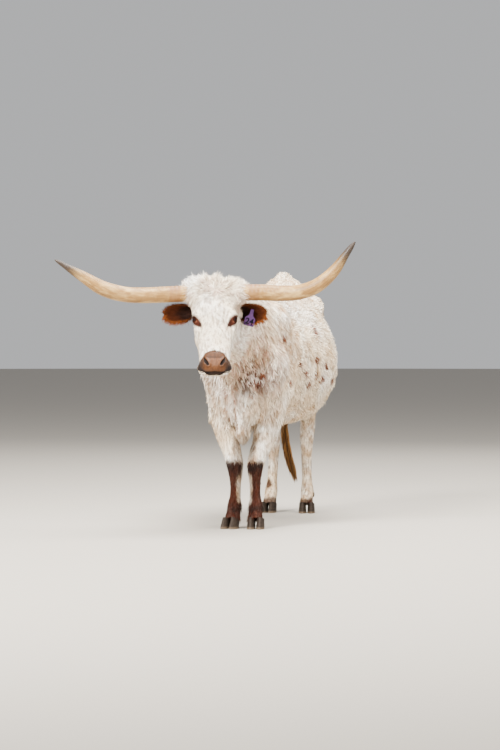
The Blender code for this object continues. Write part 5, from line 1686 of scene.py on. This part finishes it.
def flat_view(middle, across, up, wide, high):
    """Turns places into spots of the unit square, seen flat along two axes."""
    return lambda roots: columns(0.5 + (roots - np.array(middle)) @ np.array(across) / wide,
                                 0.5 + (roots - np.array(middle)) @ np.array(up) / high)


class LONGHORN_OT_eyes(bpy.types.Operator):
    """Make the eyes and their lids"""

    bl_idname = "longhorn.eyes"
    bl_label = "Eyes"

    def execute(self, context):
        wet = eye_material()
        for name, side in SIDES:
            ball = eyeball_mesh(side)
            ball.transform(Matrix.Translation(SHARED["home"]))
            dressed(f"eyeball_{name}", ball, wet, (f"eye_{name}",))
            lid = lid_mesh(side, SHARED["surface"])
            mark_lid(lid, side)
            bring_home(lid)
            fur = lid.copy()
            skin = linked(f"eyelids_{name}", lid)
            thickened(skin, LID_THICK, -1)
            rounded = skin.modifiers.new("round", "SUBSURF")
            rounded.levels = 1
            rounded.render_levels = 1
            dressed(f"eyelids_{name}", applied(skin), SHARED["hide"])
            *hair, seed = LID_HAIR
            view = flat_view(eye_centre(side) + SHARED["home"], *eye_axes(side)[1:], *LID_VIEW)
            laid(f"coat_lids_{name}", fur, (*hair, seed + side), SHARED["short"], SHARED["coat"],
                 view)
        return {"FINISHED"}


def eyeball_mesh(side):
    """A ball with a raised cornea, with its own axes kept for the iris."""
    look, slit, over = eye_axes(side)
    turn = Matrix((slit, over, look)).transposed()
    bm = bmesh.new()
    bmesh.ops.create_uvsphere(bm, u_segments=48, v_segments=32, radius=1)
    local = []
    for v in bm.verts:
        direction = v.co.normalized()
        swell = 0.0016 * math.exp(-(((1 - direction.z) / 0.16) ** 2))
        local.append(direction)
        v.co = eye_centre(side) + turn @ direction * (EYEBALL + swell)
    mesh = finished(bm, "eyeball")
    keep(mesh, gaze=np.array(local))
    return mesh


def eye_material():
    """Wet brown iris with a level pupil, dark rim and reddish white."""
    made, tree, shader = new_material("wet eye", 0.16)
    across, over = parts_of(tree, field(tree, "gaze", "Vector"))[:2]

    def length(a, b):
        """The length of a flat vector from its two parts."""
        squares = (calc(tree, "POWER", part, 2.0) for part in (a, b))
        return calc(tree, "SQRT", calc(tree, "ADD", *squares))

    off = length(across, over)
    pupil = length(times(tree, across, 0.55), over)
    rays = lumps(tree, field(tree, "gaze", "Vector"), 18.0)
    white = blended(tree, rays, (0.10, 0.030, 0.016), (0.20, 0.075, 0.045))
    iris = blended(tree, rays, (0.008, 0.003, 0.002), (0.030, 0.010, 0.005))
    colour = blended(tree, ramp(tree, off, 0.62, 0.70), iris, white)
    rim = ramp(tree, calc(tree, "ABSOLUTE", calc(tree, "SUBTRACT", off, 0.64)), 0.06, 0.0)
    colour = blended(tree, rim, colour, (0.008, 0.005, 0.004))
    colour = blended(tree, ramp(tree, pupil, 0.24, 0.19), colour, (0.004, 0.004, 0.006))
    painted(tree, shader, colour)
    shader.inputs["IOR"].default_value = 1.06
    return made


# Ears


def ear_point(side, u, v):
    """A point on the ear's middle sheet: u along it from the root, v across it from lower to upper edge."""
    place = head_frame()
    out = (place.to_3x3() @ Vector((side, 0, 0)) + Vector((0, 0, -0.10))).normalized()
    ahead = heading()
    face = (ahead - out * ahead.dot(out) + Vector((0, 0, -0.12))).normalized()
    up = out.cross(face) * side
    if up.z < 0:
        up = -up
    width = EAR_HEIGHT / 2 * (0.46 + 0.54 * math.sin(math.pi / 2 * max(-0.2, min(1.0, u / 0.42))))
    if u > EAR_ROUNDING:
        width *= math.sqrt(max(0.0, 1 - ((u - EAR_ROUNDING) / (1.004 - EAR_ROUNDING)) ** 2))
    bend = math.radians(78 - 44 * u)
    turn = bend * v
    radius = width / math.sin(bend)
    cup = radius * (math.cos(turn) - math.cos(bend))
    return place @ sided(EAR_ROOT, side) + out * EAR_LENGTH * u + up * radius * math.sin(turn) - face * cup


def ear_points(side, u, v):
    """The same for rows of u and v."""
    return np.array([ear_point(side, *uv) for uv in np.broadcast(u, v)])


def ear_mesh(side):
    """The ear as a cupped leaf with its run and breadth kept on it."""
    bm = bmesh.new()
    run = bm.verts.layers.float.new("run")
    breadth = bm.verts.layers.float.new("breadth")
    grid = []
    for i in range(EAR_GRID[0]):
        line = []
        for j in range(EAR_GRID[1]):
            u, v = -0.16 + 1.155 * i / (EAR_GRID[0] - 1), 2 * j / (EAR_GRID[1] - 1) - 1
            ripple = 0.0010 * math.sin(14 * v + 5 * u) * abs(v) ** 2 * max(0.0, u)
            vert = bm.verts.new(ear_point(side, u, v) + heading() * ripple)
            vert[run] = u
            vert[breadth] = v
            line.append(vert)
        grid.append(line)
    for low, high in zip(grid, grid[1:]):
        for j in range(len(low) - 1):
            bm.faces.new((low[j], high[j], high[j + 1], low[j + 1]))
    obj = linked("ear", meshed(bm, "ear"))
    thickened(obj, EAR_THICK, 0)
    return applied(obj)


def mark_ear(mesh, side):
    """Keeps the colours and the hair of an ear on it: long from the cup and fringed at its edge."""
    normals = coords(mesh, "normal")
    u, v = kept(mesh, "run"), kept(mesh, "breadth")
    inner = ease((normals @ np.array(heading()) + 0.1) / 0.3)
    edge = np.maximum(ease((np.abs(v) - 0.72) / 0.25), ease((u - 0.80) / 0.18))
    lower = ease((-v + 0.1) / 0.5)
    along = unit(ear_points(side, np.minimum(u + 0.03, 0.99), v) - ear_points(side, np.minimum(u, 0.96), v))
    near = np.minimum(u, 0.9)
    across = unit(ear_points(side, near, np.copysign(1, v)) - ear_points(side, near, 0.0))
    lie = unit(along * mix(1.0, 0.5, edge)[:, None] + across * edge[:, None])
    lie -= normals * np.sum(lie * normals, axis=1)[:, None] * (1 - edge)[:, None]
    # Painted shade far into the cup, over its dark hair; the locks thin out there too.
    deep = inner * ease((0.80 - u - 0.5 * np.abs(v + 0.1) ** 2) / 0.40)
    keep(mesh, lie=unit(lie), deep=deep, fringe=edge * (0.35 + 0.65 * lower),
         length=mix(mix(0.010, 0.020, inner), 0.017 + 0.012 * lower, edge),
         girth=mix(0.0018, 0.0026, edge), lift=mix(mix(0.18, 0.30, inner), 0.10, edge),
         thick=mix(0.75 - 0.45 * deep, 1.0, edge) * (u > 0.0), shade=0.3)


def ear_material():
    """Red-brown ear skin and hair, orange at the fringe, darkest far into the cup: dark hair under painted
    shade.
    """
    made, tree, shader = new_material("red ear", 0.85)
    root = field(tree, "root", "Vector")
    tone = scaled(tree, lumps(tree, root, 120.0), 0.6, times(tree, field(tree, "shade"), 0.5))
    colour = blended(tree, tone, (0.007, 0.0025, 0.0015), (0.100, 0.024, 0.007))
    colour = blended(tree, times(tree, field(tree, "fringe"), tone), colour, (0.30, 0.085, 0.018))
    # Painted shade far into the cup.
    colour = blended(tree, times(tree, field(tree, "deep"), 0.9), colour, (0.008, 0.003, 0.002))
    painted(tree, shader, colour, 0.1)
    relief(tree, shader, lumps(tree, root, 350.0), 0.0008)
    return made


class LONGHORN_OT_ears(bpy.types.Operator):
    """Make the ears with their inner hair and fringe"""

    bl_idname = "longhorn.ears"
    bl_label = "Ears"

    def execute(self, context):
        material = ear_material()
        for name, side in SIDES:
            mesh = ear_mesh(side)
            mark_ear(mesh, side)
            bring_home(mesh)
            fur = mesh.copy()
            dressed(f"ear_skin_{name}", mesh, material, (f"ear_{name}",))
            out = head_frame().to_3x3() @ Vector((side, 0, 0))
            view = flat_view(ear_point(side, 0.5, 0.0) + SHARED["home"], out, UP, *EAR_VIEW)
            *hair, seed = EAR_HAIR
            laid(f"ear_hair_{name}", fur, (*hair, seed + side), SHARED["long"], material, view)
        return {"FINISHED"}


# Horns


def horn_mesh(side):
    """A horn with growth rings near its root and fine ridges along it, its run and turn kept on it."""
    count, sides = HORN_GRID
    rows = [(*level_point(*spot), radius) for *spot, radius in smooth_rows(HORNS[side], count)]
    bm = bmesh.new()
    run = bm.verts.layers.float.new("run")
    grain = bm.verts.layers.float_vector.new("grain")
    loops = add_round_tube(bm, rows, sides)
    bm.verts.ensure_lookup_table()
    length = 0.0
    centres = [Vector(row[:3]) for row in rows]
    for i, (loop, centre) in enumerate(zip(loops, centres)):
        share = i / (count - 1)
        length += (centre - centres[i - 1]).length if i else 0.0
        for vert, turn in zip(loop, turns(sides)):
            fade = max(0.0, 1 - share / 0.55)
            ring = math.sin(2 * math.pi * (length + 0.004 * math.sin(3 * turn)) / HORN_RINGS)
            ridge = noise.noise(Vector((math.cos(turn) * 7, math.sin(turn) * 7, length * 6)))
            out = (vert.co - centre).normalized()
            vert.co += out * (0.0007 * fade * ring - 0.0004 + 0.0009 * ridge * (1 - share))
            vert[run] = share
            vert[grain] = Vector((math.cos(turn), math.sin(turn), length * 10))
    bm.verts[-2][run], bm.verts[-1][run] = 0.0, 1.0
    return finished(bm)


def horn_material():
    """Cream-yellow horn with streaks along it, a pink-brown band of growth at its root and a dark tip."""
    made, tree, shader = new_material("polished horn", 0.42)
    run, grain = field(tree, "run"), field(tree, "grain", "Vector")
    streaks = lumps(tree, stretched(tree, grain, (3.2, 3.2, 0.35)), 2.0, 6.0, 0.6)
    mottles = lumps(tree, grain, 1.6, 4.0)
    tone = colours()
    colour = blended(tree, ramp(tree, streaks, 0.30, 0.72), (0.185, 0.092, 0.025), tone.horn)
    colour = blended(tree, ramp(tree, mottles, 0.42, 0.70), colour, (0.46, 0.29, 0.105))
    lines = lumps(tree, stretched(tree, grain, (14.0, 14.0, 0.8)), 2.0, 3.0)
    colour = blended(tree, times(tree, ramp(tree, lines, 0.54, 0.70), 0.55), colour, (0.11, 0.058, 0.024))
    wavy = scaled(tree, streaks, 0.06, run)
    band = times(tree, ramp(tree, wavy, 0.215, 0.195), ramp(tree, wavy, 0.115, 0.135))
    colour = blended(tree, times(tree, band, 0.62), colour, (0.17, 0.066, 0.020))
    colour = blended(tree, times(tree, ramp(tree, wavy, 0.10, 0.05), 0.35), colour, (0.26, 0.135, 0.052))
    tip = ramp(tree, scaled(tree, streaks, 0.10, run), 0.78, 0.97)
    painted(tree, shader, blended(tree, tip, colour, tone.horn_tip), 0.32)
    tree.links.new(scaled(tree, streaks, 0.30, 0.28), shader.inputs["Roughness"])
    relief(tree, shader, calc(tree, "ADD", streaks, times(tree, lines, 0.6)), 0.0016, 0.5)
    return made


class LONGHORN_OT_horns(bpy.types.Operator):
    """Make the horns"""

    bl_idname = "longhorn.horns"
    bl_label = "Horns"

    def execute(self, context):
        material = horn_material()
        for side in HORNS:
            mesh = horn_mesh(side)
            mesh.transform(Matrix.Translation(SHARED["home"]))
            dressed(f"horn_sheath_{side}", mesh, material, (f"horn_{side}",))
        return {"FINISHED"}


# Hooves


def claw_mesh(x, y, toes, outer):
    """One half of a hoof: growth rings, a flat sole and a blunt toe."""
    bm = bmesh.new()
    rings = []
    turn = Matrix.Rotation(math.radians(toes), 3, "Z")
    middle = outer * (0.5 * CLAW_GAP + CLAW_HALF[0])
    for z in [0.0, 0.0015, 0.004, *np.linspace(0.008, 0.075, 26)]:
        grow, shift = line_at(CLAW_RINGS[::-1], z, (1, 2), 0)
        grow = grow + 0.010 * math.sin(z * 900) * (z > 0.008) - 0.02 * (z == 0)
        ring = []
        for angle in turns(36):
            c, s = math.cos(angle), math.sin(angle)
            across = CLAW_HALF[0] * grow * powered(c, 0.8)
            if s < 0:
                across *= 1 - 0.45 * s * s
            spot = turn @ Vector((middle + across, CLAW_HALF[1] * grow * s + shift, 0))
            ring.append(Vector((x + spot.x, y + spot.y, z)))
        rings.append(ring)
    skin_rings(bm, rings)
    point, normal = coronet(x, y)
    whole = bm.verts[:] + bm.edges[:] + bm.faces[:]
    cut = bmesh.ops.bisect_plane(bm, geom=whole, plane_co=point + normal * 0.002, plane_no=normal,
                                 clear_outer=True)
    bmesh.ops.holes_fill(bm, edges=[e for e in cut["geom_cut"] if isinstance(e, bmesh.types.BMEdge)])
    return finished(bm)


def dewclaw_mesh(x, y, side):
    """The small spare hoof behind a fetlock."""
    rows = [(x + side * out, y + back, DEWCLAW_HEIGHT + up, wide)
            for out, back, up, wide in smooth_rows(DEWCLAW, 14)]
    return tube_mesh(rows, 20)


def hoof_material():
    """Grey-brown horn with rings across it, scuffed paler in streaks, dusty below."""
    made, tree, shader = new_material("hoof horn", 0.6)
    place = object_place(tree)
    rings = lumps(tree, stretched(tree, place, (20.0, 20.0, 260.0)), 1.0, 3.0)
    streaks = lumps(tree, stretched(tree, place, (260.0, 260.0, 18.0)), 1.0, 3.0)
    tone = colours().hoof
    colour = blended(tree, ramp(tree, rings, 0.3, 0.7), tone, [c * 2.1 for c in tone])
    colour = blended(tree, times(tree, ramp(tree, streaks, 0.5, 0.75), 0.5), colour, (0.060, 0.042, 0.029))
    dust = times(tree, ramp(tree, parts_of(tree, place)[2], 0.016, 0.002), 0.6)
    painted(tree, shader, blended(tree, dust, colour, (0.20, 0.14, 0.09)), 0.15)
    relief(tree, shader, calc(tree, "ADD", rings, streaks), 0.0010)
    return made


class LONGHORN_OT_hooves(bpy.types.Operator):
    """Make the hooves and dewclaws"""

    bl_idname = "longhorn.hooves"
    bl_label = "Hooves"

    def execute(self, context):
        material = hoof_material()
        for name, (x, y, toes) in FEET.items():
            for label, outer in (("outer", 1), ("inner", -1)):
                sign = outer if x > 0 else -outer
                claw = claw_mesh(x, y, toes, sign)
                spur = dewclaw_mesh(x, y + DEWCLAW_BACK, sign)
                for kind, mesh in (("hoof", claw), ("dewclaw", spur)):
                    mesh.transform(Matrix.Translation(SHARED["home"]))
                    node = f"{kind}_{name}_{label}"
                    dressed(f"{kind}_wall_{name}_{label}", mesh, material, (node,), 50)
        return {"FINISHED"}


# Tag


def tag_plate():
    """The tag's outline, thickened, with rounded corners, in its own plane: across, down."""
    outline = [(a, -d) for d, a in TAG_OUTLINE] + [(-a, -d) for d, a in reversed(TAG_OUTLINE)]
    bm = bmesh.new()
    base = bm.faces.new([bm.verts.new((a, up, 0)) for a, up in outline])
    raised = bmesh.ops.extrude_face_region(bm, geom=[base])["geom"]
    moved = [v for v in raised if isinstance(v, bmesh.types.BMVert)]
    bmesh.ops.translate(bm, verts=moved, vec=(0, 0, TAG_THICK))
    edges = [e for e in bm.edges if e.calc_face_angle(0) > 1.0]
    bmesh.ops.bevel(bm, geom=edges, offset=0.0006, segments=2, affect="EDGES")
    bmesh.ops.recalc_face_normals(bm, faces=bm.faces)
    return bm


def tag_material():
    """Worn purple plastic, its purple darkened as painted shade."""
    made, tree, shader = new_material("purple tag plastic", 0.5)
    place, tone = object_place(tree), colours().tag
    dirt = times(tree, ramp(tree, lumps(tree, place, 160.0, 4.0), 0.45, 0.75), 0.5)
    painted(tree, shader, blended(tree, dirt, tone, [c * 1.7 for c in tone]), 0.15)
    relief(tree, shader, lumps(tree, place, 700.0), 0.0003)
    return made


def ink_material():
    """Worn black ink."""
    made, tree, shader = new_material("black tag ink", 0.55)
    worn = ramp(tree, lumps(tree, object_place(tree), 500.0), 0.35, 0.75)
    painted(tree, shader, blended(tree, worn, (0.001, 0.001, 0.002), (0.003, 0.002, 0.005)), 0.05)
    return made


def figures_mesh():
    """The tag's figures as a thin solid."""
    text = bpy.data.curves.new("figures", "FONT")
    text.body = sizes().tag_number
    text.size = TAG_FIGURES
    text.offset = 0.0014
    text.align_x = "CENTER"
    text.align_y = "CENTER"
    text.extrude = 0.0003
    mesh = applied(linked("figures", text))
    mesh.materials.clear()
    mesh.materials.append(ink_material())
    return mesh


class LONGHORN_OT_tag(bpy.types.Operator):
    """Make the ear tag with plain figures and its button"""

    bl_idname = "longhorn.tag"
    bl_label = "Ear tag"

    def execute(self, context):
        side = head_frame().to_3x3() @ Vector((1, 0, 0))
        hang = ear_point(1, *TAG_HOLE) + heading() * TAG_AHEAD + SHARED["home"]
        swing = Matrix.Translation((0.005, -0.043, 0)) @ Matrix.Rotation(TAG_SWING, 4, "Z")
        place = axes_at(hang, side, UP, heading()) @ swing @ Matrix.Translation((0, 0.040, 0))
        bm = tag_plate()
        for radius, low, high in TAG_BUTTONS:
            spot = Matrix.Translation((0, 0, (low + high) / 2))
            bmesh.ops.create_cone(bm, cap_ends=True, segments=28, radius1=radius, radius2=radius * 0.86,
                                  depth=high - low, matrix=spot)
        plate = finished(bm)
        plate.transform(place)
        dressed("tag_plate", plate, tag_material(), ("ear_tag",), 40)
        figures = figures_mesh()
        figures.transform(place @ Matrix.Translation((0, -0.052, TAG_THICK)))
        settled(linked("tag_figures", figures))
        return {"FINISHED"}


# Switch


def switch_core():
    """The tube that the switch's hair grows from, with the hair's measures kept on it."""
    mesh = tube_mesh(smooth_rows([(x, y, z, r * 0.11) for x, y, z, r in SWITCH], 70), 18)
    z, steep = coords(mesh)[:, 2], np.abs(coords(mesh, "normal")[:, 2])
    (ahead_x, ahead_y), (x, y) = line_at(SWITCH, z - 0.10), line_at(SWITCH, z)
    rest = ease((z - 0.19) / 0.30)
    keep(mesh, lie=unit(columns(ahead_x - x, ahead_y - y, -0.10)),
         length=np.maximum(0.025, np.minimum(sizes().switch_length, (z - 0.165) * 0.95)),
         girth=mix(0.0020, 0.0027, rest), lift=mix(0.008, 0.022, bump(z - 0.40, 0.09)),
         thick=ease((0.5 - steep) / 0.1), shade=0.3, tip=0.0)
    return mesh


def switch_material():
    """Golden hair, paler where the tail's skin shows at its top."""
    made, tree, shader = new_material("switch hair", 0.55)
    root = field(tree, "root", "Vector")
    tone = scaled(tree, lumps(tree, root, 40.0), 0.7, times(tree, field(tree, "shade"), 0.6))
    colour = blended(tree, ramp(tree, tone, 0.30, 0.72), (0.060, 0.025, 0.008), colours().switch)
    pale = times(tree, ramp(tree, parts_of(tree, root)[2], 0.53, 0.60), 0.75)
    painted(tree, shader, blended(tree, pale, colour, (0.42, 0.30, 0.17)))
    return made


def round_switch(roots):
    """Spots of the unit square: the turn round the switch and the run down it."""
    x, y, z = (roots - np.array(SHARED["home"])).T
    middle_x, middle_y = line_at(SWITCH, z)
    turn = np.arctan2(x - middle_x, y - middle_y) / (2 * math.pi) + 0.5
    return np.clip(columns(turn, (z - 0.17) / 0.43), 0.004, 0.996)


class LONGHORN_OT_switch(bpy.types.Operator):
    """Hang the long hair of the tail"""

    bl_idname = "longhorn.switch"
    bl_label = "Switch"

    def execute(self, context):
        mesh = switch_core()
        bring_home(mesh)
        material = switch_material()
        fur = mesh.copy()
        dressed("switch_core", mesh, material, ("tail_switch",))
        locks = tuft_collection("strand")
        laid("switch_hair", fur, SWITCH_HAIR, locks, material, round_switch)
        return {"FINISHED"}


# Stage


def placed(name, data, spot, aim):
    """A camera or light at a place in the scene, turned to look along aim."""
    obj = linked(name, data)
    obj.location = spot
    obj.rotation_euler = aim.to_track_quat("-Z", "Y").to_euler()
    return obj


class LONGHORN_OT_stage(bpy.types.Operator):
    """Set the floor, the soft light and the camera"""

    bl_idname = "longhorn.stage"
    bl_label = "Stage"

    def execute(self, context):
        scene = context.scene
        look = Vector((-math.sin(CAMERA_TURN), math.cos(CAMERA_TURN), 0))
        right = Vector((math.cos(CAMERA_TURN), math.sin(CAMERA_TURN), 0))
        camera = bpy.data.cameras.new("camera")
        camera.sensor_width = 36
        camera.lens = FOCAL_PIXELS * camera.sensor_width / PHOTO_SIZE[1]
        aim = look + right * (AIM_OFF[0] / FOCAL_PIXELS) + UP * (AIM_OFF[1] / FOCAL_PIXELS)
        scene.camera = placed("camera", camera, FOREFEET - look * CAMERA_AWAY + UP * CAMERA_HEIGHT, aim)
        bm = bmesh.new()
        bmesh.ops.create_circle(bm, cap_ends=True, segments=96, radius=FLOOR_RADIUS)
        floor = linked("floor", finished(bm))
        made, _, shader = new_material("pale floor", 0.9)
        shader.inputs["Base Color"].default_value = (*colours().floor, 1)
        floor.data.materials.append(made)
        scene.world = bpy.data.worlds.new("soft sky")
        scene.world.use_nodes = True
        for socket, value in zip(scene.world.node_tree.nodes["Background"].inputs, SKY):
            socket.default_value = value
        for name, spot, size, power in LAMPS:
            lamp = bpy.data.lights.new(name, "AREA")
            lamp.energy = power
            lamp.color = LAMP_COLOUR
            lamp.size = size
            placed(name, lamp, spot, LAMP_TARGET - Vector(spot))
        return {"FINISHED"}


class LONGHORN_PT_panel(bpy.types.Panel):
    """Lists the cow's pieces, sizes and colours"""

    bl_label = "Longhorn"
    bl_idname = "LONGHORN_PT_panel"
    bl_space_type = "VIEW_3D"
    bl_region_type = "UI"
    bl_category = "Longhorn"

    def draw(self, context):
        for operator in OPERATORS:
            self.layout.operator(operator.bl_idname)
        for group in (context.scene.longhorn_sizes, context.scene.longhorn_colours):
            box = self.layout.box()
            for name in group.__annotations__:
                box.prop(group, name)


OPERATORS = (LONGHORN_OT_skin, LONGHORN_OT_coat, LONGHORN_OT_eyes, LONGHORN_OT_ears, LONGHORN_OT_horns,
             LONGHORN_OT_hooves, LONGHORN_OT_tag, LONGHORN_OT_switch, LONGHORN_OT_stage)
CLASSES = (LonghornSizes, LonghornColours, *OPERATORS, LONGHORN_PT_panel)


def register():
    for made in CLASSES:
        bpy.utils.register_class(made)
    bpy.types.Scene.longhorn_sizes = PointerProperty(type=LonghornSizes)
    bpy.types.Scene.longhorn_colours = PointerProperty(type=LonghornColours)


def unregister():
    del bpy.types.Scene.longhorn_colours
    del bpy.types.Scene.longhorn_sizes
    for made in reversed(CLASSES):
        bpy.utils.unregister_class(made)


def main():
    register()
    clear_defaults()
    bpy.ops.longhorn.skin()
    bpy.ops.longhorn.coat()
    bpy.ops.longhorn.eyes()
    bpy.ops.longhorn.ears()
    bpy.ops.longhorn.horns()
    bpy.ops.longhorn.hooves()
    bpy.ops.longhorn.tag()
    bpy.ops.longhorn.switch()
    bpy.ops.longhorn.stage()


if __name__ == "__main__":
    main()
